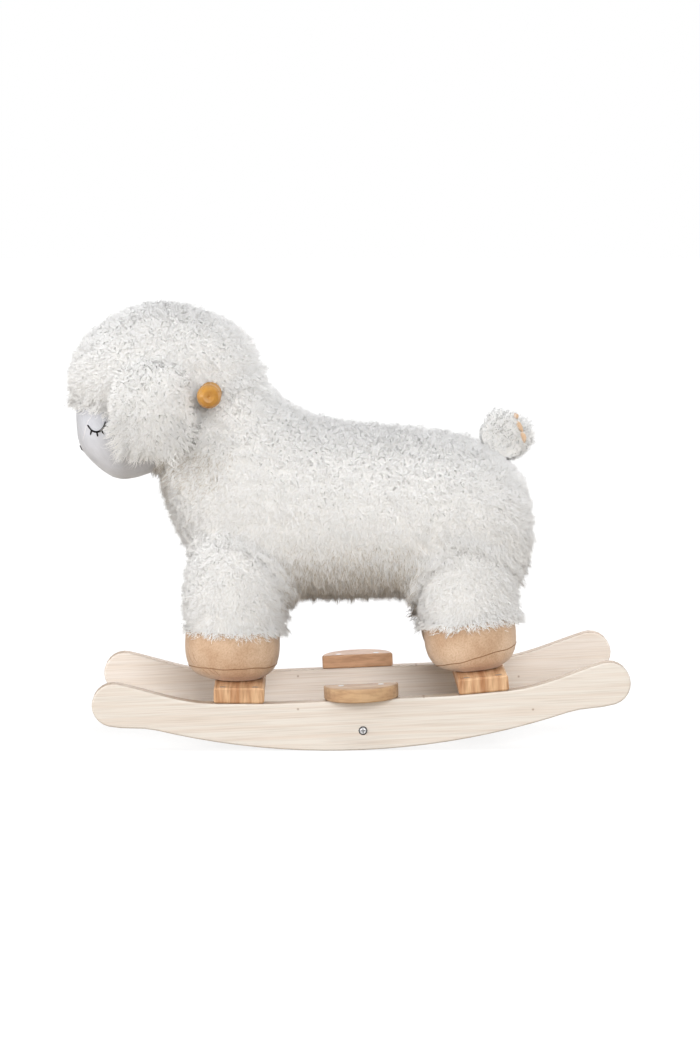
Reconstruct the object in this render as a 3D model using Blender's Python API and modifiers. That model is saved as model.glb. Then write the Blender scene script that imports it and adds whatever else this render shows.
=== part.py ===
"""A rocking sheep: a stuffed, sewn sheep on a wooden frame, which stands on a pair of wooden rockers.

The sheep faces -X, in metres, with +Z up. It is modelled level, with X = 0 at the middle of the rockers
and Z = 0 at the lowest point of their arc. The empty "stance" carries everything. It tips the toy
nose-down by the angle that it comes to rest at, and puts the origin under the middle of its bounding box.
"""

import math

import bmesh
import bpy
from mathutils import Matrix, Vector

# Clearance between pieces that touch
GAP = 0.0003

# Rockers: a circular arc below, a rounded lobe at each end, and a flat top that dips between the lobes
ROCKER_LENGTH = 0.620
ROCKER_RADIUS = 0.860
ROCKER_THICKNESS = 0.020
ROCKER_TOP = 0.0584
ROCKERS_WIDTH = 0.260
LOBE_RADIUS = 0.025
LOBE_RISE = 0.0061
LOBE_START = math.radians(-75)
LOBE_END = math.radians(105)
LOBE_STEPS = 12
ARC_STEP = math.radians(1.6)
ARC_STEPS = 10
EDGE_EASE = 0.0015

# The toy rests on the facet between the first and the second step of the arc in front of the middle
REST_TILT = 1.5 * ARC_STEP

# Cross bars, which lie on straight lands of the rockers' tops and follow their slope
BAR_OFFSET = 0.141
BAR_WIDTH = 0.058
BAR_THICKNESS = 0.018
BAR_TILT = math.radians(2.8)
BAR_RISE = 0.0018
BAR_EASE = 0.002
BAR_LAND = 0.002
LEVEL_INSET = 0.015

# Countersunk screws: the rim of the head, and how far their holes stay open above it
SCREW_RIM = 0.0005
SCREW_ABOVE = 0.004

# Screws through the bar ends, down into the rockers
BAR_SCREW_SPACING = 0.037
BAR_SCREW_LENGTH = 0.042
BAR_SCREW_RADIUS = 0.0020
BAR_SCREW_HEAD = 0.0038

# Half-moon footrests on the middle of each rocker
FOOTREST_LENGTH = 0.086
FOOTREST_DEPTH = 0.045
FOOTREST_THICKNESS = 0.016
FOOTREST_CORNER = 0.004
FOOTREST_STEPS = 16
FOOTREST_SCREW_SPACING = 0.046
FOOTREST_SCREW_LENGTH = 0.034
FOOTREST_SCREW_RADIUS = 0.0018
FOOTREST_SCREW_HEAD = 0.0033

# Stretcher between the rockers, held at each end by a bolt and a barrel nut
STRETCHER_HEIGHT = 0.028
STRETCHER_THICKNESS = 0.024
STRETCHER_CENTRE = 0.023
BOLT_LENGTH = 0.056
BOLT_RADIUS = 0.003
BOLT_HEAD_RADIUS = 0.0052
BOLT_HEAD_HEIGHT = 0.0022
BOLT_CROSS = (0.0055, 0.0011, 0.003)
BARREL_RADIUS = 0.005
BARREL_LENGTH = 0.018
BARREL_INSET = 0.030

# Posts inside the legs, square to the bars and cut level at the top, and the bolts from under the bars.
# Each post starts longer by the spare, which the level cut takes off
LEG_SPREAD = 0.057
POST_WIDTH = 0.032
POST_HEIGHT = 0.162
POST_SPARE = 0.020
LEG_BOLT_RADIUS = 0.004
LEG_BOLT_LENGTH = 0.072
LEG_BOLT_HEAD = 0.0085
LEG_BOLT_HEAD_HEIGHT = 0.0055

# Board on the posts, with the foam of the seat on it
SEAT_FRONT = -0.183
SEAT_SHOULDER = -0.150
SEAT_BACK = 0.158
SEAT_WIDTH = 0.150
SEAT_NOSE = 0.056
SEAT_THICKNESS = 0.012
SEAT_CORNER = 0.020
SEAT_SCREW_LENGTH = 0.045
SEAT_SCREW_RADIUS = 0.0022
SEAT_SCREW_HEAD = 0.0042
FOAM_FRONT = -0.132
FOAM_BACK = 0.150
FOAM_WIDTH = 0.136
FOAM_THICKNESS = 0.040
FOAM_EASE = 0.006

# Neck post on the board, and the handle through it, just below its top
NECK_CENTRE = -0.159
NECK_WIDTH = 0.040
NECK_HEIGHT = 0.188
NECK_SCREW_SPACING = 0.020
HANDLE_DROP = 0.026
HANDLE_RISE = NECK_HEIGHT - HANDLE_DROP
ROD_RADIUS = 0.008
ROD_LENGTH = 0.236
ROD_SCREW_LENGTH = 0.026
GRIP_START = 0.074
GRIP_END = 0.136
GRIP_RADIUS = 0.014
GRIP_ROOM_LENGTH = 0.080

# Turned outline of a grip: radius, and depth below its outer end. The lathe leaves a dimple in the end
GRIP_PROFILE = (
    (0, 0.0018),
    (0.0022, 0.0003),
    (0.0065, 0),
    (0.0110, 0.0025),
    (0.0134, 0.0070),
    (GRIP_RADIUS, 0.0120),
    (0.0134, 0.0190),
    (0.0120, 0.0290),
    (0.0112, 0.0390),
    (0.0120, 0.0480),
    (0.0135, 0.0540),
)
GRIP_COLLAR = (
    (0.0135, 0.0015),
    (0.0125, 0),
    (0, 0),
)

# Sewn forms: the rings of each loft are given by two opposite points and a half width.
# Torso, from rump to neck: back x, back z, belly x, belly z, half width. Heights are over the seat board
TORSO_RINGS = (
    (0.209, 0.020, 0.209, -0.014, 0.034),
    (0.203, 0.054, 0.206, -0.048, 0.070),
    (0.178, 0.084, 0.193, -0.068, 0.092),
    (0.135, 0.107, 0.150, -0.076, 0.104),
    (0.070, 0.118, 0.076, -0.078, 0.106),
    (-0.002, 0.125, -0.005, -0.078, 0.105),
    (-0.052, 0.138, -0.076, -0.076, 0.103),
    (-0.083, 0.160, -0.142, -0.064, 0.100),
    (-0.098, 0.186, -0.196, -0.024, 0.094),
    (-0.108, 0.205, -0.218, 0.035, 0.084),
    (-0.120, 0.206, -0.229, 0.092, 0.075),
    (-0.148, 0.195, -0.221, 0.126, 0.050),
)

# Head and face, from front to back: x, low z, high z, half width
HEAD_RINGS = (
    (-0.324, 0.176, 0.202, 0.030),
    (-0.314, 0.160, 0.228, 0.054),
    (-0.290, 0.146, 0.252, 0.073),
    (-0.252, 0.124, 0.274, 0.084),
    (-0.210, 0.110, 0.280, 0.085),
    (-0.165, 0.118, 0.267, 0.080),
    (-0.126, 0.142, 0.246, 0.066),
    (-0.103, 0.164, 0.222, 0.040),
)
FACE_RINGS = (
    (-0.321, 0.119, 0.168, 0.024),
    (-0.313, 0.103, 0.180, 0.043),
    (-0.295, 0.086, 0.190, 0.057),
    (-0.266, 0.073, 0.194, 0.063),
    (-0.234, 0.074, 0.192, 0.062),
    (-0.206, 0.094, 0.176, 0.044),
)

# Legs and feet: height over the bar, half length and half width
LEG_SHIFT = -0.007
LEG_SEAM = 0.058
LEG_RINGS = (
    (0.000, 0.057, 0.050),
    (0.030, 0.061, 0.050),
    (0.078, 0.056, 0.048),
    (0.118, 0.028, 0.032),
)
FOOT_RINGS = (
    (0.000, 0.029, 0.028),
    (0.004, 0.044, 0.042),
    (0.018, 0.054, 0.050),
    (0.040, 0.056, 0.051),
    (LEG_SEAM, 0.054, 0.049),
)

# Hollow cores, where the stuffing is loose: middle x, middle z and the three half sizes
CHEST_CORE = (-0.168, 0.087, 0.049, 0.071, 0.089)
HEAD_CORE = (-0.240, 0.206, 0.073, 0.067, 0.060)
FACE_CORE = (-0.262, 0.124, 0.040, 0.044, 0.036)

# Ears, sewn to the head along the top edge: depth below the seam, half length, half thickness
EAR_X = -0.226
EAR_RISE = 0.206
EAR_SPREAD = 0.0868
EAR_ROOT = 0.006
EAR_GROOVE = 0.096
EAR_RINGS = (
    (-0.004, 0.026, 0.003),
    (0.000, 0.036, 0.006),
    (0.014, 0.042, 0.008),
    (0.048, 0.048, 0.010),
    (0.084, 0.044, 0.009),
    (0.102, 0.022, 0.005),
)

# Tail, sewn to the rump along its root: height over the root, half length, half thickness
TAIL_X = 0.172
TAIL_RISE = 0.086
TAIL_SLOPE = math.radians(34)
TAIL_ROOT = 0.006
TAIL_RINGS = (
    (-TAIL_ROOT, 0.018, 0.003),
    (0.000, 0.025, 0.0052),
    (0.012, 0.031, 0.0088),
    (0.032, 0.031, 0.012),
    (0.045, 0.016, 0.007),
)
TAIL_GROOVE = 0.070

# Points around each ring of a sewn form, and how full its section is (2 is an ellipse)
RING_POINTS = 12
FULLNESS = 2.25

# Rings are drawn larger by what the subdivision takes off them
SWELL = 1 / math.cos(math.pi / RING_POINTS)


def clear_scene():
    for thing in list(bpy.data.objects):
        bpy.data.objects.remove(thing, do_unlink=True)


def new_collection(name):
    made = bpy.data.collections.new(name)
    bpy.context.scene.collection.children.link(made)
    return made


def finish(name, colour, roughness, metallic=0.0):
    made = bpy.data.materials.new(name)
    made.use_nodes = True
    shader = made.node_tree.nodes["Principled BSDF"]
    shader.inputs["Base Color"].default_value = (*colour, 1)
    shader.inputs["Roughness"].default_value = roughness
    shader.inputs["Metallic"].default_value = metallic
    made.diffuse_color = (*colour, 1)
    return made


clear_scene()
PARTS = new_collection("rocking_sheep")
CUTTERS = new_collection("cutters")
CUTTERS.hide_render = True

ROCKER_WOOD = finish("rocker_wood", (0.80, 0.66, 0.48), 0.55)
BAR_WOOD = finish("bar_wood", (0.60, 0.38, 0.19), 0.5)
FOOTREST_WOOD = finish("footrest_wood", (0.52, 0.34, 0.20), 0.5)
FRAME_WOOD = finish("frame_wood", (0.68, 0.52, 0.34), 0.7)
HANDLE_WOOD = finish("handle_wood", (0.75, 0.42, 0.12), 0.3)
STEEL = finish("steel", (0.62, 0.62, 0.62), 0.35, 1.0)
FLEECE = finish("fleece", (0.90, 0.88, 0.84), 0.95)
VELBOA = finish("velboa", (0.72, 0.70, 0.76), 0.9)
SUEDE = finish("suede", (0.62, 0.46, 0.32), 0.9)
FOAM = finish("foam", (0.85, 0.80, 0.62), 0.9)


def empty(name, location=(0, 0, 0), rotation=(0, 0, 0), parent=None):
    made = bpy.data.objects.new(name, None)
    made.empty_display_size = 0.03
    made.location = location
    made.rotation_euler = rotation
    made.parent = parent
    PARTS.objects.link(made)
    return made


def add(name, mesh, look, parent, location=(0, 0, 0), rotation=(0, 0, 0)):
    """A piece of the toy, or a cutter where it has no look."""
    made = bpy.data.objects.new(name, mesh)
    made.location = location
    made.rotation_euler = rotation
    made.parent = parent
    if look:
        mesh.materials.clear()
        mesh.materials.append(look)
        PARTS.objects.link(made)
    else:
        made.hide_render = True
        made.display_type = "WIRE"
        CUTTERS.objects.link(made)
    return made


def cut(piece, *cutters):
    for cutter in cutters:
        boolean = piece.modifiers.new(cutter.name, "BOOLEAN")
        boolean.operation = "DIFFERENCE"
        boolean.object = cutter


def ease(piece, width, segments=1):
    bevel = piece.modifiers.new("Ease", "BEVEL")
    bevel.width = width
    bevel.segments = segments
    bevel.limit_method = "ANGLE"
    bevel.angle_limit = math.radians(50)


def box(name, size, look, parent, location=(0, 0, 0), rotation=(0, 0, 0)):
    bpy.ops.mesh.primitive_cube_add(size=1)
    cube = bpy.context.object
    mesh = cube.data
    bpy.data.objects.remove(cube)
    mesh.name = name
    mesh.transform(Matrix.Diagonal((*size, 1)))
    return add(name, mesh, look, parent, location, rotation)


def cylinder(name, radius, length, look, parent, location=(0, 0, 0), rotation=(0, 0, 0), sides=16):
    bpy.ops.mesh.primitive_cylinder_add(radius=radius, depth=length, vertices=sides)
    rod = bpy.context.object
    mesh = rod.data
    bpy.data.objects.remove(rod)
    mesh.name = name
    return add(name, mesh, look, parent, location, rotation)


def turned(name, profile, look, parent, location=(0, 0, 0), rotation=(0, 0, 0), sides=10):
    """A turned piece about local Z. The profile runs down its outer side, as (radius, height)."""
    mesh = bpy.data.meshes.new(name)
    points = [(radius, 0, height) for radius, height in profile]
    mesh.from_pydata(points, [(i, i + 1) for i in range(len(points) - 1)], [])
    made = add(name, mesh, look, parent, location, rotation)
    turn = made.modifiers.new("Turn", "SCREW")
    turn.steps = sides
    turn.render_steps = sides
    turn.use_merge_vertices = True
    turn.merge_threshold = 0.00001
    return made


def plate(name, outline, thickness, look, parent, location=(0, 0, 0), rotation=(0, 0, 0)):
    """A flat board from a closed outline in its local XY plane, made a mesh so that it can be cut."""
    curve = bpy.data.curves.new(name, "CURVE")
    curve.dimensions = "2D"
    curve.fill_mode = "BOTH"
    curve.extrude = thickness / 2
    line = curve.splines.new("POLY")
    line.points.add(len(outline) - 1)
    for point, (x, y) in zip(line.points, outline):
        point.co = (x, y, 0, 1)
    line.use_cyclic_u = True
    flat = bpy.data.objects.new(name + "_curve", curve)
    CUTTERS.objects.link(flat)
    solid = flat.evaluated_get(bpy.context.evaluated_depsgraph_get())
    mesh = bpy.data.meshes.new_from_object(solid)
    mesh.name = name
    bpy.data.objects.remove(flat)
    work = bmesh.new()
    work.from_mesh(mesh)
    bmesh.ops.remove_doubles(work, verts=work.verts, dist=0.00001)
    bmesh.ops.dissolve_limit(work, angle_limit=math.radians(0.1), verts=work.verts, edges=work.edges)
    bmesh.ops.recalc_face_normals(work, faces=work.faces)
    work.to_mesh(mesh)
    work.free()
    return add(name, mesh, look, parent, location, rotation)


def oval(first, last, half_width, middle=0.0):
    """One ring between two opposite points in the XZ plane, bulging by half_width to each side in Y."""
    first, last = Vector(first), Vector(last)
    centre = (first + last) / 2
    reach = (first - last) / 2 * SWELL
    points = []
    for i in range(RING_POINTS):
        angle = 2 * math.pi * i / RING_POINTS
        along, across = (
            math.copysign(abs(part) ** (2 / FULLNESS), part) for part in (math.cos(angle), math.sin(angle))
        )
        place = centre + reach * along
        points.append((place.x, middle + half_width * SWELL * across, place.y))
    return points


def loft(name, rings, look, parent, location=(0, 0, 0), rotation=(0, 0, 0), flat=()):
    """A sewn form: a closed cage through the rings, smoothed by one level of subdivision.

    The ends named in flat, 0 for the first and -1 for the last, keep their edge.
    """
    work = bmesh.new()
    loops = [[work.verts.new(point) for point in ring] for ring in rings]
    for near, far in zip(loops, loops[1:]):
        for i in range(RING_POINTS):
            j = (i + 1) % RING_POINTS
            work.faces.new((near[i], near[j], far[j], far[i]))
    ends = [work.faces.new(loops[0]), work.faces.new(loops[-1])]
    crease = work.edges.layers.float.new("crease_edge")
    for edge in (edge for end in flat for edge in ends[end].edges):
        edge[crease] = 1
    bmesh.ops.recalc_face_normals(work, faces=work.faces)
    mesh = bpy.data.meshes.new(name)
    work.to_mesh(mesh)
    work.free()
    mesh.shade_smooth()
    return round_off(add(name, mesh, look, parent, location, rotation))


def round_off(form):
    """Smooths a cage, and splits its faces one fixed way, so that a form and its room match."""
    smooth = form.modifiers.new("Smooth", "SUBSURF")
    smooth.levels = 1
    smooth.render_levels = 1
    split = form.modifiers.new("Split", "TRIANGULATE")
    split.quad_method = "FIXED"
    return form


def swollen(form):
    """A cutter of the same form as a sewn piece, larger by the clearance."""
    made = add(form.name + "_room", form.data.copy(), None, form.parent, form.location, form.rotation_euler)
    round_off(made)
    grow = made.modifiers.new("Grow", "DISPLACE")
    grow.strength = GAP
    grow.mid_level = 0
    return made


def core(name, shape):
    """A rounded hollow inside a sewn form."""
    x, z, *half_sizes = shape
    bpy.ops.mesh.primitive_uv_sphere_add(segments=12, ring_count=7, radius=1)
    ball = bpy.context.object
    mesh = ball.data
    bpy.data.objects.remove(ball)
    mesh.name = name
    mesh.transform(Matrix.Diagonal((*half_sizes, 1)))
    return add(name, mesh, None, BODY, (x, 0, z))


def bezier(start, start_handle, end_handle, end, steps):
    """Points along a cubic curve, without its two ends."""
    points = []
    for i in range(1, steps):
        t = i / steps
        point = (
            Vector(start) * (1 - t) ** 3
            + Vector(start_handle) * 3 * t * (1 - t) ** 2
            + Vector(end_handle) * 3 * t * t * (1 - t)
            + Vector(end) * t**3
        )
        points.append(tuple(point))
    return points


def screw_profile(length, radius, head):
    """A countersunk screw with its flat head at height 0."""
    point = 2 * radius
    return (
        (0, 0),
        (head, 0),
        (head, -SCREW_RIM),
        (radius, -SCREW_RIM - (head - radius)),
        (radius, point - length),
        (0, -length),
    )


def screw_hole(name, length, radius, head, parent, location, rotation=(0, 0, 0)):
    """The hole of a countersunk screw: the screw itself, larger by the clearance and open above."""
    wide, narrow = head + GAP, radius + GAP
    profile = (
        (0, SCREW_ABOVE),
        (wide, SCREW_ABOVE),
        (wide, -SCREW_RIM - GAP),
        (narrow, -SCREW_RIM - GAP - (head - radius)),
        (narrow, -length - GAP),
        (0, -length - GAP),
    )
    return turned(name, profile, None, parent, location, rotation)


def rocker_half():
    """The outline of the rear half of a rocker, from the middle of its arc round to the middle of its top."""
    arc = [
        (ROCKER_RADIUS * math.sin(i * ARC_STEP), ROCKER_RADIUS * (1 - math.cos(i * ARC_STEP)))
        for i in range(ARC_STEPS + 1)
    ]
    centre = Vector((ROCKER_LENGTH / 2 - LOBE_RADIUS, ROCKER_TOP + LOBE_RISE))
    lobe = []
    for i in range(LOBE_STEPS + 1):
        angle = LOBE_START + (LOBE_END - LOBE_START) * i / LOBE_STEPS
        lobe.append(tuple(centre + LOBE_RADIUS * Vector((math.cos(angle), math.sin(angle)))))
    slope = ARC_STEPS * ARC_STEP
    handle = (lobe[0][0] - arc[-1][0]) / 3
    foot = bezier(
        arc[-1],
        (arc[-1][0] + handle, arc[-1][1] + handle * math.tan(slope)),
        (lobe[0][0] - handle, lobe[0][1] - handle * math.tan(math.pi / 2 + LOBE_START)),
        lobe[0],
        4,
    )
    seat_half = BAR_WIDTH / 2 + BAR_LAND
    seat = [
        (BAR_OFFSET + side * seat_half, ROCKER_TOP + BAR_RISE + side * seat_half * math.tan(BAR_TILT))
        for side in (1, -1)
    ]
    handle = (lobe[-1][0] - seat[0][0]) / 3
    shoulder = bezier(
        lobe[-1],
        (lobe[-1][0] - handle, lobe[-1][1] - handle * math.tan(LOBE_END - math.pi / 2)),
        (seat[0][0] + handle, seat[0][1] + handle * math.tan(BAR_TILT)),
        seat[0],
        8,
    )
    level = (seat[1][0] - LEVEL_INSET, ROCKER_TOP)
    return arc + foot + lobe + shoulder + seat + [level]


def rocker_outline():
    """The rear half and its mirror image, as one closed line."""
    half = rocker_half()
    return half + [(-x, z) for x, z in reversed(half) if x > 0]


STANCE = empty("stance")
MATING = ROCKERS_WIDTH / 2 - ROCKER_THICKNESS / 2
INNER = ROCKERS_WIDTH / 2 - ROCKER_THICKNESS
UPRIGHT = (math.pi / 2, 0, 0)
SIDES = (("left", -1), ("right", 1))

# The bars' underside, and the empties that stand square on it
BAR_SEAT = ROCKER_TOP + BAR_RISE + GAP
BARS = {
    end: empty(end + "_bar_frame", (sign * BAR_OFFSET, 0, BAR_SEAT), (0, -sign * BAR_TILT, 0), STANCE)
    for end, sign in (("front", -1), ("rear", 1))
}
BAR_TOP = BAR_THICKNESS

# The underside of the seat board, which carries the whole body
BOARD_HEIGHT = BAR_SEAT + BAR_THICKNESS + POST_HEIGHT
BODY = empty("body_frame", (0, 0, BOARD_HEIGHT), parent=STANCE)


def make_base():
    """Rockers, cross bars, stretcher and footrests, with what fastens them."""
    rockers = {}
    for side, sign in SIDES:
        place = (0, sign * MATING, 0)
        rocker = plate(
            f"rocker_{side}", rocker_outline(), ROCKER_THICKNESS, ROCKER_WOOD, STANCE, place, UPRIGHT
        )
        ease(rocker, EDGE_EASE)
        rockers[side] = rocker

    for end, frame in BARS.items():
        size = (BAR_WIDTH, ROCKERS_WIDTH, BAR_THICKNESS)
        bar = box(f"cross_bar_{end}", size, BAR_WOOD, frame, (0, 0, BAR_THICKNESS / 2))
        ease(bar, BAR_EASE)
        for side, sign in SIDES:
            for number, along in ((1, -1), (2, 1)):
                name = f"bar_screw_{end}_{side}_{number}"
                place = (along * BAR_SCREW_SPACING / 2, sign * MATING, BAR_TOP)
                shape = (BAR_SCREW_LENGTH, BAR_SCREW_RADIUS, BAR_SCREW_HEAD)
                turned(name, screw_profile(*shape), STEEL, frame, place)
                hole = screw_hole(name + "_hole", *shape, frame, place)
                cut(bar, hole)
                cut(rockers[side], hole)
            place = (0, sign * LEG_SPREAD, 0)
            hole = cylinder(
                f"leg_bolt_{end}_{side}_clearance",
                LEG_BOLT_RADIUS + GAP,
                4 * BAR_THICKNESS,
                None,
                frame,
                place,
                sides=12,
            )
            cut(bar, hole)

    make_footrests(rockers)
    make_stretcher(rockers)


def make_footrests(rockers):
    half = FOOTREST_LENGTH / 2
    bulge = FOOTREST_DEPTH - FOOTREST_CORNER
    turns = [math.pi * i / FOOTREST_STEPS for i in range(FOOTREST_STEPS + 1)]
    curved = [(half * math.cos(turn), FOOTREST_CORNER + bulge * math.sin(turn)) for turn in turns]
    outline = [(half, 0)] + curved + [(-half, 0)]
    height = ROCKER_TOP + GAP + FOOTREST_THICKNESS / 2
    for side, sign in SIDES:
        shape = [(x, sign * y) for x, y in outline]
        board = plate(
            f"footrest_{side}", shape, FOOTREST_THICKNESS, FOOTREST_WOOD, STANCE, (0, sign * INNER, height)
        )
        ease(board, EDGE_EASE)
        for number, along in ((1, -1), (2, 1)):
            name = f"footrest_screw_{side}_{number}"
            place = (along * FOOTREST_SCREW_SPACING / 2, sign * MATING, height + FOOTREST_THICKNESS / 2)
            size = (FOOTREST_SCREW_LENGTH, FOOTREST_SCREW_RADIUS, FOOTREST_SCREW_HEAD)
            turned(name, screw_profile(*size), STEEL, STANCE, place)
            hole = screw_hole(name + "_hole", *size, STANCE, place)
            cut(board, hole)
            cut(rockers[side], hole)


def make_stretcher(rockers):
    length = 2 * (INNER - GAP)
    stretcher = box(
        "centre_stretcher",
        (STRETCHER_THICKNESS, length, STRETCHER_HEIGHT),
        FRAME_WOOD,
        STANCE,
        (0, 0, STRETCHER_CENTRE),
    )
    ease(stretcher, EDGE_EASE)
    head = (
        (0, BOLT_HEAD_HEIGHT),
        (0.6 * BOLT_HEAD_RADIUS, 0.9 * BOLT_HEAD_HEIGHT),
        (BOLT_HEAD_RADIUS, 0.4 * BOLT_HEAD_HEIGHT),
        (BOLT_HEAD_RADIUS, GAP),
        (BOLT_RADIUS, GAP),
        (BOLT_RADIUS, -BOLT_LENGTH),
        (0, -BOLT_LENGTH),
    )
    for side, sign in SIDES:
        place = (0, sign * ROCKERS_WIDTH / 2, STRETCHER_CENTRE)
        outward = (-sign * math.pi / 2, 0, 0)
        bolt = turned(f"stretcher_bolt_{side}", head, STEEL, STANCE, place, outward)
        for number, turn in ((1, 0), (2, math.pi / 2)):
            name = f"bolt_cross_{side}_{number}"
            cut(bolt, box(name, BOLT_CROSS, None, bolt, (0, 0, BOLT_HEAD_HEIGHT), (0, 0, turn)))
        hole = cylinder(
            f"bolt_hole_{side}",
            BOLT_RADIUS + GAP,
            2 * (BOLT_LENGTH + GAP),
            None,
            STANCE,
            place,
            UPRIGHT,
            sides=10,
        )
        cut(rockers[side], hole)
        cut(stretcher, hole)

        place = (0, sign * (INNER - BARREL_INSET), STRETCHER_CENTRE)
        nut = cylinder(f"barrel_nut_{side}", BARREL_RADIUS, BARREL_LENGTH, STEEL, STANCE, place, sides=12)
        cut(nut, hole)
        pocket = cylinder(
            f"barrel_pocket_{side}", BARREL_RADIUS + GAP, STRETCHER_HEIGHT, None, STANCE, place, sides=12
        )
        pocket.location.z = STRETCHER_CENTRE - (STRETCHER_HEIGHT - BARREL_LENGTH) / 2 + GAP
        cut(stretcher, pocket)


def post_box(name, look, frame, sign, grown, bottom, top):
    """A square post, or the room for one, between two heights over the bar's underside."""
    width = POST_WIDTH + 2 * grown
    size = (width, width, top - bottom)
    return box(name, size, look, frame, (0, sign * LEG_SPREAD, (top + bottom) / 2))


def make_posts():
    """The four posts and their bolts. It returns the rooms that the sewn pieces leave for them."""
    rooms = []
    over = empty("over_board", (0, 0, BOARD_HEIGHT - GAP), parent=STANCE)
    size = (2 * ROCKER_LENGTH, 2 * ROCKERS_WIDTH, 4 * POST_SPARE)
    level = box("board_level", size, None, over, (0, 0, size[2] / 2))
    for end, frame in BARS.items():
        for side, sign in SIDES:
            top = BAR_TOP + POST_HEIGHT + POST_SPARE
            post = post_box(f"leg_post_{end}_{side}", FRAME_WOOD, frame, sign, 0, BAR_TOP + GAP, top)
            cut(post, level)
            place = (0, sign * LEG_SPREAD, 0)
            bolt_top = LEG_BOLT_LENGTH - LEG_BOLT_HEAD_HEIGHT
            profile = (
                (0, bolt_top),
                (LEG_BOLT_RADIUS, bolt_top - LEG_BOLT_RADIUS),
                (LEG_BOLT_RADIUS, -GAP),
                (LEG_BOLT_HEAD, -GAP),
                (LEG_BOLT_HEAD, -GAP - LEG_BOLT_HEAD_HEIGHT),
                (0, -GAP - LEG_BOLT_HEAD_HEIGHT),
            )
            turned(f"leg_bolt_{end}_{side}", profile, STEEL, frame, place, sides=12)
            depth = bolt_top + GAP
            hole = cylinder(
                f"leg_bolt_{end}_{side}_hole",
                LEG_BOLT_RADIUS + GAP,
                depth,
                None,
                frame,
                (place[0], place[1], depth / 2),
                sides=12,
            )
            cut(post, hole)
            rooms.append(post_box(f"post_room_{end}_{side}", None, frame, sign, GAP, 0, top))
    return rooms


def seat_outline(grown):
    """The seat board from above: square behind, and narrowed to a nose under the neck post."""
    half = SEAT_WIDTH / 2 + grown
    back = SEAT_BACK + grown
    one_side = [
        (back, half - SEAT_CORNER),
        (back - SEAT_CORNER, half),
        (SEAT_SHOULDER - grown, half),
        (SEAT_FRONT - grown, SEAT_NOSE / 2 + grown),
    ]
    return one_side + [(x, -y) for x, y in reversed(one_side)]


def make_seat():
    """Seat board, foam, neck post and handle. It returns the rooms for them in the torso, and in the head."""
    place = (0, 0, SEAT_THICKNESS / 2)
    board = plate("seat_board", seat_outline(0), SEAT_THICKNESS, FRAME_WOOD, BODY, place)
    board_room = plate("board_room", seat_outline(GAP), SEAT_THICKNESS + 2 * GAP, None, BODY, place)

    for end, sign_x in (("front", -1), ("rear", 1)):
        for side, sign_y in SIDES:
            name = f"seat_screw_{end}_{side}"
            lean = (BAR_THICKNESS + POST_HEIGHT) * math.tan(BAR_TILT)
            place = (sign_x * (BAR_OFFSET - lean), sign_y * LEG_SPREAD, SEAT_THICKNESS)
            size = (SEAT_SCREW_LENGTH, SEAT_SCREW_RADIUS, SEAT_SCREW_HEAD)
            turned(name, screw_profile(*size), STEEL, BODY, place)
            hole = screw_hole(name + "_hole", *size, BODY, place)
            cut(board, hole)
            cut(bpy.data.objects[f"leg_post_{end}_{side}"], hole)

    foam_length = FOAM_BACK - FOAM_FRONT
    foam_middle = (FOAM_BACK + FOAM_FRONT) / 2
    foam_base = SEAT_THICKNESS + GAP
    foam = box(
        "seat_foam",
        (foam_length, FOAM_WIDTH, FOAM_THICKNESS),
        FOAM,
        BODY,
        (foam_middle, 0, foam_base + FOAM_THICKNESS / 2),
    )
    ease(foam, FOAM_EASE, 2)

    post = box(
        "neck_post",
        (NECK_WIDTH, NECK_WIDTH, NECK_HEIGHT),
        FRAME_WOOD,
        BODY,
        (NECK_CENTRE, 0, foam_base + NECK_HEIGHT / 2),
    )
    for number, across in ((1, -1), (2, 1)):
        name = f"neck_screw_{number}"
        place = (NECK_CENTRE, across * NECK_SCREW_SPACING / 2, 0)
        size = (SEAT_SCREW_LENGTH, SEAT_SCREW_RADIUS, SEAT_SCREW_HEAD)
        turned(name, screw_profile(*size), STEEL, BODY, place, (math.pi, 0, 0))
        hole = screw_hole(name + "_hole", *size, BODY, place, (math.pi, 0, 0))
        cut(board, hole)
        cut(post, hole)

    foam_room = box(
        "foam_room",
        (foam_length + 2 * GAP, FOAM_WIDTH + 2 * GAP, FOAM_THICKNESS + 2 * GAP),
        None,
        BODY,
        (foam_middle, 0, foam_base + FOAM_THICKNESS / 2),
    )
    neck_room = box(
        "neck_room",
        (NECK_WIDTH + 2 * GAP, NECK_WIDTH + 2 * GAP, NECK_HEIGHT + 2 * GAP),
        None,
        BODY,
        (NECK_CENTRE, 0, foam_base + NECK_HEIGHT / 2),
    )
    neck_rooms = [neck_room, *make_handle(post)]
    return [board_room, foam_room, *neck_rooms], neck_rooms


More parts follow.
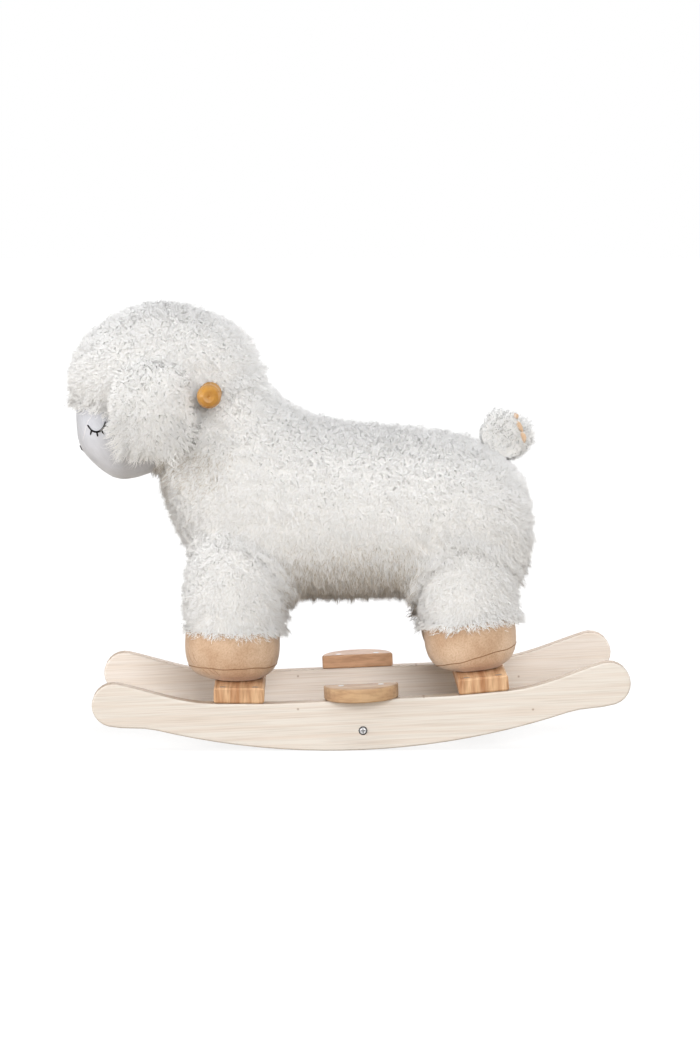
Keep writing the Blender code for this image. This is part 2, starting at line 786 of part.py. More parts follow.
def make_handle(post):
    """The rod through the neck post, its locking screw and the grips. It returns the rooms for them."""
    place = (NECK_CENTRE, 0, HANDLE_RISE + SEAT_THICKNESS)
    rod = cylinder("handle_rod", ROD_RADIUS, ROD_LENGTH, HANDLE_WOOD, BODY, place, UPRIGHT)
    bore = cylinder("rod_bore", ROD_RADIUS + GAP, 2 * NECK_WIDTH, None, BODY, place, UPRIGHT)
    cut(post, bore)

    top = SEAT_THICKNESS + GAP + NECK_HEIGHT
    size = (ROD_SCREW_LENGTH, SEAT_SCREW_RADIUS, SEAT_SCREW_HEAD)
    screw_place = (NECK_CENTRE, 0, top)
    turned("rod_screw", screw_profile(*size), STEEL, BODY, screw_place)
    hole = screw_hole("rod_screw_hole", *size, BODY, screw_place)
    cut(post, hole)
    cut(rod, hole)

    length = GRIP_END - GRIP_START
    profile = [(radius, length - depth) for radius, depth in GRIP_PROFILE] + list(GRIP_COLLAR)
    rod_room = cylinder("rod_room", ROD_RADIUS + GAP, ROD_LENGTH + 2 * GAP, None, BODY, place, UPRIGHT)
    rooms = [rod_room]
    for side, sign in SIDES:
        outward = (-sign * math.pi / 2, 0, 0)
        start = (NECK_CENTRE, sign * GRIP_START, place[2])
        grip = turned(f"handle_grip_{side}", profile, HANDLE_WOOD, BODY, start, outward, sides=18)
        cut(grip, rod_room)
        middle = sign * (GRIP_START - GAP + GRIP_ROOM_LENGTH / 2)
        room = cylinder(
            f"grip_room_{side}",
            GRIP_RADIUS + GAP,
            GRIP_ROOM_LENGTH,
            None,
            BODY,
            (NECK_CENTRE, middle, place[2]),
            UPRIGHT,
        )
        rooms.append(room)
    return rooms


def form_rings(stations, middle=0.0):
    """Rings across X, from (x, low, high, half width)."""
    return [oval((x, high), (x, low), half, middle) for x, low, high, half in stations]


def make_body(post_rooms, torso_rooms, head_rooms):
    """Torso, head and face, each cut by the larger one."""
    rings = [oval((bx, bz), (ux, uz), half) for bx, bz, ux, uz, half in TORSO_RINGS]
    torso = loft("torso", rings, FLEECE, BODY)
    torso_room = swollen(torso)
    cut(torso, core("chest_core", CHEST_CORE), *post_rooms, *torso_rooms)

    head = loft("head", form_rings(HEAD_RINGS), FLEECE, BODY)
    head_room = swollen(head)
    cut(head, torso_room, core("head_core", HEAD_CORE), *head_rooms)

    face = loft("face", form_rings(FACE_RINGS), VELBOA, BODY)
    cut(face, head_room, torso_room, core("face_core", FACE_CORE))
    make_ears(head)
    make_tail(torso)
    return torso_room


def make_ears(head):
    """Ears that hang from a seam along their top edge and lift outwards."""
    for side, sign in SIDES:
        seam = empty(f"ear_{side}_seam", (EAR_X, sign * EAR_SPREAD, EAR_RISE), parent=BODY)
        rings = []
        for depth, half_length, half_thick in EAR_RINGS:
            middle = 0 if depth <= 0 else sign * (half_thick + GAP)
            ring = oval((half_length, 0), (-half_length, 0), half_thick, middle)
            rings.append([(x, y, -depth) for x, y, z in ring])
        loft(f"ear_{side}", rings, FLEECE, seam)
        groove = cylinder(
            f"ear_groove_{side}", EAR_ROOT + 2 * GAP, EAR_GROOVE, None, seam, rotation=(0, math.pi / 2, 0)
        )
        cut(head, groove)


def make_tail(torso):
    """A short tail that leans to either side about its seam."""
    seam = empty("tail_seam", (TAIL_X, 0, TAIL_RISE), (0, TAIL_SLOPE, 0), BODY)
    rings = []
    for height, half_length, half_thick in TAIL_RINGS:
        ring = oval((half_length, 0), (-half_length, 0), half_thick)
        rings.append([(x, y, height) for x, y, z in ring])
    loft("tail", rings, FLEECE, seam)
    groove = cylinder(
        "tail_groove", TAIL_ROOT + 2 * GAP, TAIL_GROOVE, None, seam, rotation=(0, math.pi / 2, 0)
    )
    cut(torso, groove)


def make_legs(post_rooms, torso_room):
    """Fleece legs that run up to the torso, and stuffed feet on the bars."""
    room = iter(post_rooms)
    for end, frame in BARS.items():
        for side, sign in SIDES:
            hollow = next(room)
            middle = sign * LEG_SPREAD
            rings = []
            for height, half_length, half_width in LEG_RINGS:
                ring = oval((LEG_SHIFT + half_length, 0), (LEG_SHIFT - half_length, 0), half_width, middle)
                level = BAR_TOP + LEG_SEAM + 2 * GAP + height
                rings.append([(x, y, level) for x, y, z in ring])
            leg = loft(f"leg_cover_{end}_{side}", rings, FLEECE, frame, flat=(0,))
            cut(leg, torso_room, hollow)

            rings = []
            for height, half_length, half_width in FOOT_RINGS:
                ring = oval((LEG_SHIFT + half_length, 0), (LEG_SHIFT - half_length, 0), half_width, middle)
                level = BAR_TOP + GAP + height
                rings.append([(x, y, level) for x, y, z in ring])
            foot = loft(f"foot_{end}_{side}", rings, SUEDE, frame, flat=(0, -1))
            cut(foot, hollow)


def bounds():
    """The lowest and highest corner of all the pieces in world space."""
    graph = bpy.context.evaluated_depsgraph_get()
    points = []
    for piece in PARTS.objects:
        if piece.type == "MESH":
            solid = piece.evaluated_get(graph)
            points += [solid.matrix_world @ vertex.co for vertex in solid.data.vertices]
    low = Vector([min(point[axis] for point in points) for axis in range(3)])
    high = Vector([max(point[axis] for point in points) for axis in range(3)])
    return low, high


def set_down():
    """Tips the toy onto the facet that it rests on, and centres it over the origin."""
    STANCE.rotation_euler = (0, -REST_TILT, 0)
    middle = Vector((0, 0, ROCKER_RADIUS))
    turned_middle = STANCE.rotation_euler.to_matrix() @ middle
    STANCE.location = middle - turned_middle
    bpy.context.view_layer.update()
    low, high = bounds()
    STANCE.location.x -= (low.x + high.x) / 2
    STANCE.location.z -= low.z
    bpy.context.view_layer.update()


make_base()
POST_ROOMS = make_posts()
TORSO_ROOM = make_body(POST_ROOMS, *make_seat())
make_legs(POST_ROOMS, TORSO_ROOM)
set_down()
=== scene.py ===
"""Rocking sheep: the looks of the part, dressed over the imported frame. Metres, the sheep faces -X."""
import itertools
from math import ceil, cos, pi, radians, sin, sqrt

import bpy
import numpy as np
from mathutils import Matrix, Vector
from mathutils.bvhtree import BVHTree
from mathutils.kdtree import KDTree


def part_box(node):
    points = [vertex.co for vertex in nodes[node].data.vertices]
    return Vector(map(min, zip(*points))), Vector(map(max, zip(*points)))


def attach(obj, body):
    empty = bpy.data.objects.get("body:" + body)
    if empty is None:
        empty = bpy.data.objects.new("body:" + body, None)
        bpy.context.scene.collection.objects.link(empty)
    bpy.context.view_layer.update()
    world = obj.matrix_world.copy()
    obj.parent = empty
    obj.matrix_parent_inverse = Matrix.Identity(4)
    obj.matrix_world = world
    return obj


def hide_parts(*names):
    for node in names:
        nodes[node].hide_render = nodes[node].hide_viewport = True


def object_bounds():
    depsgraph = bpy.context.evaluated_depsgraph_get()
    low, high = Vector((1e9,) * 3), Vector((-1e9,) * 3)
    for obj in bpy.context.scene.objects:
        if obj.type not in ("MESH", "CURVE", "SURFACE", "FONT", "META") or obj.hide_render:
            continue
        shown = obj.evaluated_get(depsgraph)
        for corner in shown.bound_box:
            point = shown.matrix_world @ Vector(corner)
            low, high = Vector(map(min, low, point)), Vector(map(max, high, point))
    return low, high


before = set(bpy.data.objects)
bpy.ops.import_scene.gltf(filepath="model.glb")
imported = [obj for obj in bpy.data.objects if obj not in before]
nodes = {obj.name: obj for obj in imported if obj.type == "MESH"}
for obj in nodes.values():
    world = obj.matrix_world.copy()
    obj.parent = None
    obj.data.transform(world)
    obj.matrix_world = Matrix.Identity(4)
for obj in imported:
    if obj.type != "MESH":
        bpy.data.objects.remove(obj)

MM = 0.001
cad_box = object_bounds()
SHEEP = "sheep_on_rockers"
EARS = ["ear_left", "ear_right"]
FLAPS = EARS + ["tail"]
ENDS = [f"{end}_{side}" for end in ("front", "rear") for side in ("left", "right")]
LEG_COVERS = ["leg_cover_" + end for end in ENDS]
FEET = ["foot_" + end for end in ENDS]
SEWN = ["torso", "head", "face"] + EARS + LEG_COVERS + FEET
RAY_MARGIN = 10 * MM
scene = bpy.context.scene


def new_object(name, data):
    """A new object in the scene."""
    made = bpy.data.objects.new(name, data)
    scene.collection.objects.link(made)
    return made


def apply(made, settings):
    for key, value in settings.items():
        setattr(made, key, value)


def add_modifier(piece, kind, **settings):
    made = piece.modifiers.new(kind.lower(), kind)
    apply(made, settings)
    return made


def shown(piece):
    """A piece as its modifiers show it."""
    return piece.evaluated_get(bpy.context.evaluated_depsgraph_get())


def middle_of(name):
    low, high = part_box(name)
    return (low + high) / 2


def share_between(values, low, high):
    """How far values have come from low to high, from 0 to 1."""
    return ((values - low) / (high - low)).clip(0, 1)


def eased(share):
    """A share from 0 to 1 that starts and stops gently."""
    return share ** 2 * (3 - 2 * share)


# The camera, fitted to the photograph's frame of 700 x 1050
PHOTO_WIDTH = 700
PHOTO_HEIGHT = 1050
FOCAL_PIXELS = 3192
CAMERA_PLACE = Vector((-0.0571, -3.7496, 0.6649))
CAMERA_PITCH = radians(6.36)
CAMERA_YAW = radians(0.923)
SENSOR = 36

camera = new_object("camera", bpy.data.cameras.new("camera"))
camera.data.sensor_fit = "VERTICAL"
camera.data.sensor_height = SENSOR
camera.data.lens = FOCAL_PIXELS / PHOTO_HEIGHT * SENSOR
camera.location = CAMERA_PLACE
camera.rotation_euler = (pi / 2 - CAMERA_PITCH, 0, -CAMERA_YAW)
scene.camera = camera
bpy.context.view_layer.update()


def sight(pixel):
    """The direction in which the camera sees a pixel of the photograph."""
    across = (pixel[0] - PHOTO_WIDTH / 2) / FOCAL_PIXELS
    up = (PHOTO_HEIGHT / 2 - pixel[1]) / FOCAL_PIXELS
    return (camera.matrix_world.to_3x3() @ Vector((across, up, -1))).normalized()


def smooth_line(points, parts):
    """A Catmull-Rom line through the points, each span cut into parts."""
    points = [Vector(point) for point in points]
    ends = [2 * points[0] - points[1]] + points + [2 * points[-1] - points[-2]]
    line = []
    for before, start, end, after in zip(ends, ends[1:], ends[2:], ends[3:]):
        for step in range(parts):
            t = step / parts
            line.append(0.5 * (2 * start + (end - before) * t
                               + (2 * before - 5 * start + 4 * end - after) * t ** 2
                               + (3 * start - before - 3 * end + after) * t ** 3))
    line.append(points[-1])
    return line


def seen_on(tree, pixels, parts):
    """The line on a surface that the camera sees through the pixels."""
    places = [tree.ray_cast(CAMERA_PLACE, sight(pixel))[0] for pixel in pixels]
    return smooth_line([place for place in places if place is not None], parts)


# Shader helpers
def feed(tree, socket, value):
    """Sets a socket to a number or a colour, or links it to another node's output."""
    if isinstance(value, bpy.types.NodeSocket):
        tree.links.new(value, socket)
    else:
        socket.default_value = (*value, 1) if socket.type == "RGBA" else value


def shader_node(tree, kind, inputs=None, **settings):
    """A shader node with its settings and its inputs."""
    made = tree.nodes.new("ShaderNode" + kind)
    apply(made, settings)
    for key, value in (inputs or {}).items():
        feed(tree, made.inputs[key], value)
    return made


def maths(tree, operation, *values):
    return shader_node(tree, "Math", dict(enumerate(values)), operation=operation).outputs[0]


def coordinates(tree, kind="Object"):
    return shader_node(tree, "TexCoord").outputs[kind]


WHITE = (1, 1, 1)


def new_material(name, finish):
    """A material, its node tree and its Principled shader with the finish set on its own sockets."""
    made = bpy.data.materials.new(name)
    made.use_nodes = True
    shader = made.node_tree.nodes["Principled BSDF"]
    for socket, value in finish.items():
        shader.inputs[socket].default_value = value
    return made, made.node_tree, shader


def stretched_noise(tree, stretch, turn=(0, 0, 0), detail=4.0, distortion=0.0):
    """Noise whose grains are as long as 1 / stretch metres along each axis."""
    turned = shader_node(tree, "Mapping", {"Vector": coordinates(tree), "Rotation": turn})
    sized = shader_node(tree, "Mapping", {"Vector": turned.outputs[0], "Scale": stretch})
    made = shader_node(tree, "TexNoise", {"Vector": sized.outputs[0], "Scale": 1.0,
                                                    "Detail": detail, "Distortion": distortion})
    return made.outputs["Fac"]


def ramp(tree, factor, stops):
    """A colour ramp between two (place, colour) stops."""
    made = shader_node(tree, "ValToRGB", {"Fac": factor})
    for element, (place, value) in zip(made.color_ramp.elements, stops):
        element.position = place
        element.color = (*value, 1)
    return made.outputs["Color"]


def mixed(tree, kind, factor, first, second):
    """Two colours mixed in the given way."""
    inputs = {0: factor, 6: first, 7: second}
    return shader_node(tree, "Mix", inputs, data_type="RGBA", blend_type=kind).outputs[2]


def dress(tree, shader, base, height, distance, strength=1.0):
    """Gives a Principled shader its colour, and a bump from a height."""
    tree.links.new(base, shader.inputs["Base Color"])
    made = shader_node(tree, "Bump",
                       {"Height": height, "Distance": distance, "Strength": strength})
    tree.links.new(made.outputs["Normal"], shader.inputs["Normal"])


# Floor, world and lamps
FLOOR_SIZE = 20.0
FLOOR_SHOWN = (0.97, 0.97, 0.97)
FLOOR_BOUNCE = (0.45, 0.39, 0.31)
SHADOW_SHARE = 0.25
FLOOR_LEVEL = 1.10
SHADOW_REACH = (0.45, 1.1)
WORLD_LEVEL = 0.24
LAMP_AIM = Vector((0, 0, 0.25))


def shown_or_lit(tree, lit, shown):
    """The lit shader for light that bounces, and the shown one for the camera and for reflections."""
    path = shader_node(tree, "LightPath").outputs
    seen = maths(tree, "MAXIMUM", path["Is Camera Ray"], path["Is Glossy Ray"])
    seen = maths(tree, "MAXIMUM", seen, path["Is Transmission Ray"])
    return shader_node(tree, "MixShader", {0: seen, 1: lit, 2: shown}).outputs[0]


def make_floor():
    mesh = bpy.data.meshes.new("floor")
    corners = [(FLOOR_SIZE * x, FLOOR_SIZE * y, 0) for x, y in ((-1, -1), (1, -1), (1, 1), (-1, 1))]
    mesh.from_pydata(corners, [], [(0, 1, 2, 3)])
    floor = new_object("floor", mesh)
    made, tree, shader = new_material("floor_pale", {})
    tree.nodes.remove(shader)
    lit = shader_node(tree, "BsdfDiffuse", {"Color": FLOOR_BOUNCE}).outputs[0]
    pale = shader_node(tree, "BsdfDiffuse", {"Color": FLOOR_SHOWN}).outputs[0]
    white = shader_node(tree, "Emission", {"Color": WHITE, "Strength": FLOOR_LEVEL}).outputs[0]
    reach = shader_node(tree, "VectorMath", {0: coordinates(tree)}, operation="LENGTH")
    share = shader_node(tree, "MapRange",
                        {"Value": reach.outputs["Value"], "From Min": SHADOW_REACH[0],
                         "From Max": SHADOW_REACH[1], "To Min": SHADOW_SHARE, "To Max": 0.0})
    faint = shader_node(tree, "MixShader", {0: share.outputs[0], 1: white, 2: pale}).outputs[0]
    tree.links.new(shown_or_lit(tree, lit, faint), tree.nodes["Material Output"].inputs["Surface"])
    floor.data.materials.append(made)


def make_world():
    world = bpy.data.worlds.new("studio")
    world.use_nodes = True
    scene.world = world
    tree = world.node_tree
    lit = tree.nodes["Background"]
    feed(tree, lit.inputs["Color"], WHITE)
    feed(tree, lit.inputs["Strength"], WORLD_LEVEL)
    white = shader_node(tree, "Background", {"Color": WHITE, "Strength": 1.0})
    both = shown_or_lit(tree, lit.outputs[0], white.outputs[0])
    tree.links.new(both, tree.nodes["World Output"].inputs["Surface"])


def make_lamp(name, place, size, level):
    """A square soft box that looks at the object; level is what it adds to a white surface facing it."""
    lamp = bpy.data.lights.new(name, "AREA")
    lamp.shape = "SQUARE"
    lamp.size = size
    way = LAMP_AIM - Vector(place)
    lamp.energy = level * pi ** 2 * way.length_squared
    made = new_object(name, lamp)
    made.location = place
    made.rotation_euler = way.to_track_quat("-Z", "Y").to_euler()


make_floor()
make_world()
make_lamp("key_lamp", (0.4, -3.4, 1.25), 1.5, 0.70)
make_lamp("left_lamp", (-3.0, -1.0, 0.8), 1.6, 0.58)
make_lamp("right_lamp", (3.0, 0.8, 0.8), 1.6, 0.32)
make_lamp("top_lamp", (0.0, -0.4, 2.8), 1.8, 0.46)
make_lamp("back_lamp", (0.3, 3.0, 1.4), 1.8, 0.56)
scene.view_settings.view_transform = "Standard"

# Wood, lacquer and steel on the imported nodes
STANCE_TILT = (0, radians(2.4), 0)
KNOT_TONE = (0.36, 0.22, 0.13)
KNOTS_PER_METRE = 10.0
KNOT_SIZE = (0.006, 0.018)
KNOT_STRENGTH = 0.6


def wood(name, light, dark, stretch, finish, fibre, knots=False, edge=None):
    """Lacquered wood with long grain: broad streaks between the two colours, and fine darker fibres.

    The edge tone darkens the faces that look along X or Z. On the rockers these are the sawn edges: partly
    their own darker tone, partly painted shade on the tops. On the footrests they are the tops, greyed as
    painted shade.
    """
    made, tree, shader = new_material(name, finish)
    broad = stretched_noise(tree, stretch, STANCE_TILT, 3.0, 0.4)
    fine = stretched_noise(tree, [4 * s for s in stretch], STANCE_TILT, 6.0)
    base = ramp(tree, broad, [(0.36, dark), (0.60, light)])
    fibre_tone = (1 - fibre, 1 - 1.15 * fibre, 1 - 1.3 * fibre)
    base = mixed(tree, "MULTIPLY", 1.0, base, ramp(tree, fine, [(0.30, fibre_tone), (0.55, WHITE)]))
    if knots:
        apart = shader_node(tree, "SeparateXYZ", {0: coordinates(tree)}).outputs
        flat = shader_node(tree, "CombineXYZ", {"X": apart["X"], "Y": apart["Z"]})
        cells = shader_node(tree, "TexVoronoi",
                            {"Vector": flat.outputs[0], "Scale": KNOTS_PER_METRE}, voronoi_dimensions="2D")
        spots = ramp(tree, cells.outputs["Distance"], [(KNOT_SIZE[0], KNOT_TONE), (KNOT_SIZE[1], WHITE)])
        base = mixed(tree, "MULTIPLY", KNOT_STRENGTH, base, spots)
    # Partly the sawn edges' own tone, partly painted shade: faces that look along X or Z, the tops among
    # them, are darkened
    if edge is not None:
        facing = shader_node(tree, "SeparateXYZ", {0: coordinates(tree, "Normal")})
        side = maths(tree, "ABSOLUTE", facing.outputs["Y"])
        base = mixed(tree, "MULTIPLY", 1.0, base, ramp(tree, side, [(0.25, edge), (0.75, WHITE)]))
    dress(tree, shader, base, fine, 0.15 * MM, 0.5)
    return made


satin = {"Roughness": 0.62, "Specular IOR Level": 0.25}
# Edge tones: the rockers' is partly their sawn edges' own tone and partly painted shade, the footrests' is
# painted shade on their tops
rocker_grain_and_edge_shade = ((4, 30, 240), satin, 0.13, True, (0.55, 0.46, 0.38))
footrest_grain_and_top_shade = ((14, 40, 90), satin, 0.20, False, (0.80, 0.82, 0.90))
frame_wood = wood("frame_wood", (0.78, 0.62, 0.44), (0.66, 0.48, 0.32), (40, 40, 6),
                  {"Roughness": 0.6}, 0.12)
lacquer = {"Roughness": 0.30, "Specular IOR Level": 0.25, "Coat Weight": 0.05, "Coat Roughness": 0.08}


def make_steel(name, finish, painted_recess_depth=None):
    """Zinc-plated steel with faint turning marks; nearer to the middle plane than the given depth it is near
    black, painted shade in the recess.
    """
    made, tree, shader = new_material(name, finish)
    marks = stretched_noise(tree, (900, 900, 900), detail=2.0)
    base = ramp(tree, marks, [(0.3, (0.45, 0.45, 0.46)), (0.7, (0.62, 0.62, 0.63))])
    # Painted shade: the steel is near black deeper than the given depth, inside the cross recess
    if painted_recess_depth is not None:
        apart = shader_node(tree, "SeparateXYZ", {0: coordinates(tree)}).outputs
        deep = maths(tree, "LESS_THAN", maths(tree, "ABSOLUTE", apart["Y"]), painted_recess_depth)
        base = mixed(tree, "MIX", deep, base, (0.05, 0.05, 0.05))
    dress(tree, shader, base, marks, 0.05 * MM, 0.4)
    return made


steel = make_steel("steel", {"Metallic": 1.0, "Roughness": 0.35})
bolt_steel_painted_recess = make_steel("bolt_steel_painted_recess", {"Metallic": 0.7, "Roughness": 0.45},
                        abs(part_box("stretcher_bolt_left")[0].y) - 0.5 * MM)
dull_steel = make_steel("dull_steel", {"Metallic": 0.6, "Roughness": 0.6, "Specular IOR Level": 0.2})
FINISHES = {
    "footrest_screw": dull_steel,
    "stretcher_bolt": bolt_steel_painted_recess,
    "screw": steel,
    "bolt": steel,
    "nut": steel,
    "rocker_left": wood("rocker_wood", (0.735, 0.69, 0.635), (0.70, 0.625, 0.555), *rocker_grain_and_edge_shade),
    # Painted light: the far rocker wears a lighter copy of the near rocker's wood, to make up for the shade
    # it stands in
    "rocker_right": wood("far_rocker_wood_painted_light", (0.86, 0.79, 0.73), (0.82, 0.73, 0.65), *rocker_grain_and_edge_shade),
    "cross_bar": wood("bar_wood", (0.70, 0.46, 0.27), (0.43, 0.21, 0.10), (110, 4, 12), satin, 0.25),
    "footrest_left": wood("footrest_wood", (0.545, 0.36, 0.205), (0.44, 0.27, 0.15), *footrest_grain_and_top_shade),
    # Partly the far footrest's own redder tone, partly painted light: a brighter copy that makes up for the
    # shade it lies in
    "footrest_right": wood("rosy_wood_painted_light", (0.68, 0.41, 0.25), (0.56, 0.32, 0.19), *footrest_grain_and_top_shade),
    "handle": wood("handle_lacquer", (0.50, 0.25, 0.05), (0.41, 0.19, 0.035), (70, 8, 70), lacquer, 0.12),
    "leg_post": frame_wood,
    "neck_post": frame_wood,
    "seat_board": frame_wood,
    "centre_stretcher": frame_wood}
EASED = ("rocker", "cross_bar", "footrest")
EDGE_WIDTH = 0.9 * MM


def finish_for(name):
    """The material of a rigid node: the first whose key is in the node's name."""
    return next((made for key, made in FINISHES.items() if key in name), None)


def ease_edges(node):
    """Takes the sharpness off a board's edges."""
    add_modifier(node, "WELD", merge_threshold=0.01 * MM)
    add_modifier(node, "DECIMATE", decimate_type="DISSOLVE", angle_limit=radians(0.4))
    add_modifier(node, "BEVEL", width=EDGE_WIDTH, segments=2, limit_method="ANGLE",
                 angle_limit=radians(30), harden_normals=True)


def dress_rigid_nodes():
    for name, node in nodes.items():
        made = finish_for(name)
        if made is None:
            continue
        if not node.data.materials:
            node.data.materials.append(made)
        for slot in node.material_slots:
            slot.material = made
        if name.startswith(EASED) and "screw" not in name:
            ease_edges(node)


dress_rigid_nodes()


# What the open air reaches
def vertex_array(mesh):
    places = np.empty(len(mesh.vertices) * 3)
    mesh.vertices.foreach_get("co", places)
    return places.reshape(-1, 3)


def corner_array(mesh):
    """Every triangle of a mesh as an array of its three corners."""
    mesh.calc_loop_triangles()
    corners = np.empty(len(mesh.loop_triangles) * 3, int)
    mesh.loop_triangles.foreach_get("vertices", corners)
    return vertex_array(mesh)[corners].reshape(-1, 3, 3)


def triangle_tree(corners):
    """A search tree over triangles, given by their corners."""
    faces = np.arange(len(corners) * 3).reshape(-1, 3)
    return BVHTree.FromPolygons(corners.reshape(-1, 3).tolist(), faces.tolist())


def tree_of(names):
    """A search tree over all triangles of some nodes."""
    return triangle_tree(np.concatenate([corner_array(nodes[name].data) for name in names]))


def lengths(vectors):
    return np.linalg.norm(vectors, axis=-1, keepdims=True)


def unit(vectors):
    return vectors / np.maximum(lengths(vectors), 1e-12)


def capped(vectors, most):
    """Vectors made no longer than the given length."""
    return vectors * np.minimum(1, most / np.maximum(lengths(vectors), 1e-9))


def dot(first, second):
    return (first * second).sum(axis=1, keepdims=True)


TILTS = (0.6, 1.05, 1.35)
WAYS_PER_TILT = 6
LEAST_FREE = 3
OFF_SURFACE = 0.6 * MM
SAME_PLACE = 0.05 * MM


def half_sphere(axis):
    """Directions in three rows of tilt around an axis."""
    axis = Vector(axis)
    side = axis.orthogonal().normalized()
    across = axis.cross(side)
    found = [axis]
    for tilt, step in itertools.product(TILTS, range(WAYS_PER_TILT)):
        turn = step * 2 * pi / WAYS_PER_TILT + tilt
        found.append(axis * cos(tilt)
                     + (side * cos(turn) + across * sin(turn)) * sin(tilt))
    return found


def crosses(corners):
    """Each triangle's normal, as long as twice its area."""
    return np.cross(corners[:, 1] - corners[:, 0], corners[:, 2] - corners[:, 0])


def place_keys(corners):
    """Whole numbers that are the same for corners in the same place."""
    return np.round(corners / SAME_PLACE).astype(int)


def open_triangles(mesh, blockers):
    """The triangles of a mesh that see the open air past the blockers, and their face normals."""
    corners = corner_array(mesh)
    normals = unit(crosses(corners))
    keep = []
    for middle, normal in zip(corners.mean(axis=1), normals):
        start = Vector(middle) + Vector(normal) * OFF_SURFACE
        free = sum(blockers.ray_cast(start, way)[0] is None for way in half_sphere(normal))
        keep.append(free >= LEAST_FREE)
    return corners[keep], normals[keep]


def smooth_normals(corners, normals):
    """The area-weighted normal at each corner, shared by corners in the same place."""
    areas = np.linalg.norm(crosses(corners), axis=1)
    _, shared = np.unique(place_keys(corners.reshape(-1, 3)), axis=0, return_inverse=True)
    shared = shared.reshape(-1)
    total = np.zeros((shared.max() + 1, 3))
    np.add.at(total, shared, np.repeat(normals * areas[:, None], 3, axis=0))
    return unit(total)[shared].reshape(-1, 3, 3)


sheep_tree = tree_of([name for name in nodes if name not in FLAPS])
open_air = {}
for soft in SEWN + ["tail"]:
    around = tree_of([soft]) if soft in FLAPS else sheep_tree
    shell, flats = open_triangles(nodes[soft].data, around)
    open_air[soft] = (shell, smooth_normals(shell, flats))


def scatter(corners, normals, spacing, rng):
    """Seeded points all over some triangles, about one to a square of the given spacing, with normals."""
    areas = np.linalg.norm(crosses(corners), axis=1) / 2
    count = int(areas.sum() / spacing ** 2)
    chosen = rng.choice(len(areas), count, p=areas / areas.sum())
    first, second = rng.random((2, count, 1))
    root = np.sqrt(first)
    shares = (1 - root, root * (1 - second), root * second)
    points = sum(share * corners[chosen, k] for k, share in enumerate(shares))
    ways = sum(share * normals[chosen, k] for k, share in enumerate(shares))
    return points, unit(ways)


def border_points(corners, normals, spacing, rng):
    """Seeded points along the edges where the open triangles end, with normals."""
    keys = place_keys(corners)
    seen = {}
    for face, corner in itertools.product(range(len(corners)), range(3)):
        after = (corner + 1) % 3
        edge = frozenset((tuple(keys[face, corner]), tuple(keys[face, after])))
        seen.setdefault(edge, []).append((face, corner, after))
    points, ways = [], []
    for found in seen.values():
        if len(found) != 1:
            continue
        face, corner, after = found[0]
        start, end = corners[face, corner], corners[face, after]
        count = rng.poisson(np.linalg.norm(end - start) / spacing)
        for share in rng.random(count):
            points.append(start * (1 - share) + end * share)
            ways.append(normals[face, corner] * (1 - share) + normals[face, after] * share)
    return np.array(points), unit(np.array(ways))


# The fleece's forms as soft fields, which round the creases between them
FIELD_CELL = 6 * MM
CREASE_BLUR = 9
LEG_BLUR = 22
SHADING_BLUR = 20
FIELD_LOW = np.array(cad_box[0]) - 8 * FIELD_CELL
FIELD_SHAPE = tuple(((np.array(cad_box[1]) - FIELD_LOW) / FIELD_CELL).astype(int) + 9)
MOST_ROUNDING = 24 * MM
ROUNDING_STEPS = 7
LONGEST_STEP = 4 * MM


def soft_field(names, blur):
    """How full each cell is round some nodes, blurred, and the way in which that falls off.

    Each node counts as solid between its top and its underside.
    """
    grid = np.zeros(FIELD_SHAPE)
    levels = FIELD_LOW[2] + FIELD_CELL * np.arange(FIELD_SHAPE[2])
    for name in names:
        found = tree_of([name])
        low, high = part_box(name)
        first = ((np.array(low) - FIELD_LOW) / FIELD_CELL).astype(int)
        last = ((np.array(high) - FIELD_LOW) / FIELD_CELL).astype(int) + 2
        for column in itertools.product(range(first[0], last[0]), range(first[1], last[1])):
            x, y = FIELD_LOW[:2] + FIELD_CELL * np.array(column)
            top = found.ray_cast(Vector((x, y, high.z + RAY_MARGIN)), Vector((0, 0, -1)))[0]
            if top is None:
                continue
            under = found.ray_cast(Vector((x, y, low.z - RAY_MARGIN)), Vector((0, 0, 1)))[0]
            reach = np.minimum(top.z, levels + FIELD_CELL / 2) - np.maximum(under.z, levels - FIELD_CELL / 2)
            grid[column] = np.maximum(grid[column], (reach / FIELD_CELL).clip(0, 1))
    for axis, _ in itertools.product(range(3), range(blur)):
        grid = (np.roll(grid, 1, axis) + 2 * grid + np.roll(grid, -1, axis)) / 4
    slopes = np.gradient(grid, FIELD_CELL)
    return np.stack([grid] + [-slope for slope in slopes], axis=-1)


def soft_at(field, points):
    """A field's fill and outward slope at some points, weighed between the eight cells round each."""
    place = (points - FIELD_LOW) / FIELD_CELL
    base = np.floor(place).astype(int)
    share = place - base
    total = np.zeros((len(points), 4))
    for offset in itertools.product((0, 1), repeat=3):
        weight = np.prod(np.where(offset, share, 1 - share), axis=1, keepdims=True)
        total += field[tuple((base + offset).T)] * weight
    return total[:, :1], total[:, 1:]


def rounding(field, points, ways):
    """How far points in a crease move out to the field's middle level."""
    moved = points.copy()
    for _ in range(ROUNDING_STEPS):
        fill, slope = soft_at(field, moved)
        steep = lengths(slope).clip(1, None)
        moved += (dot(slope, ways) > 0) * slope / steep * ((fill - 0.5) / steep).clip(0, LONGEST_STEP)
    return capped(moved - points, MOST_ROUNDING)


whole_field = soft_field(SEWN, SHADING_BLUR)
body_field = soft_field(["torso"] + LEG_COVERS, LEG_BLUR)
head_field = soft_field(["head", "torso"] + EARS, CREASE_BLUR)
ear_tree = tree_of(EARS)
EAR_MERGE = (0.395, 0.415)
EAR_BEHIND = (-0.215, -0.200)
EAR_FREE = (0.345, 0.360)
CREST_HALF_WIDTH = 0.045
COVER_REACH = 0.05


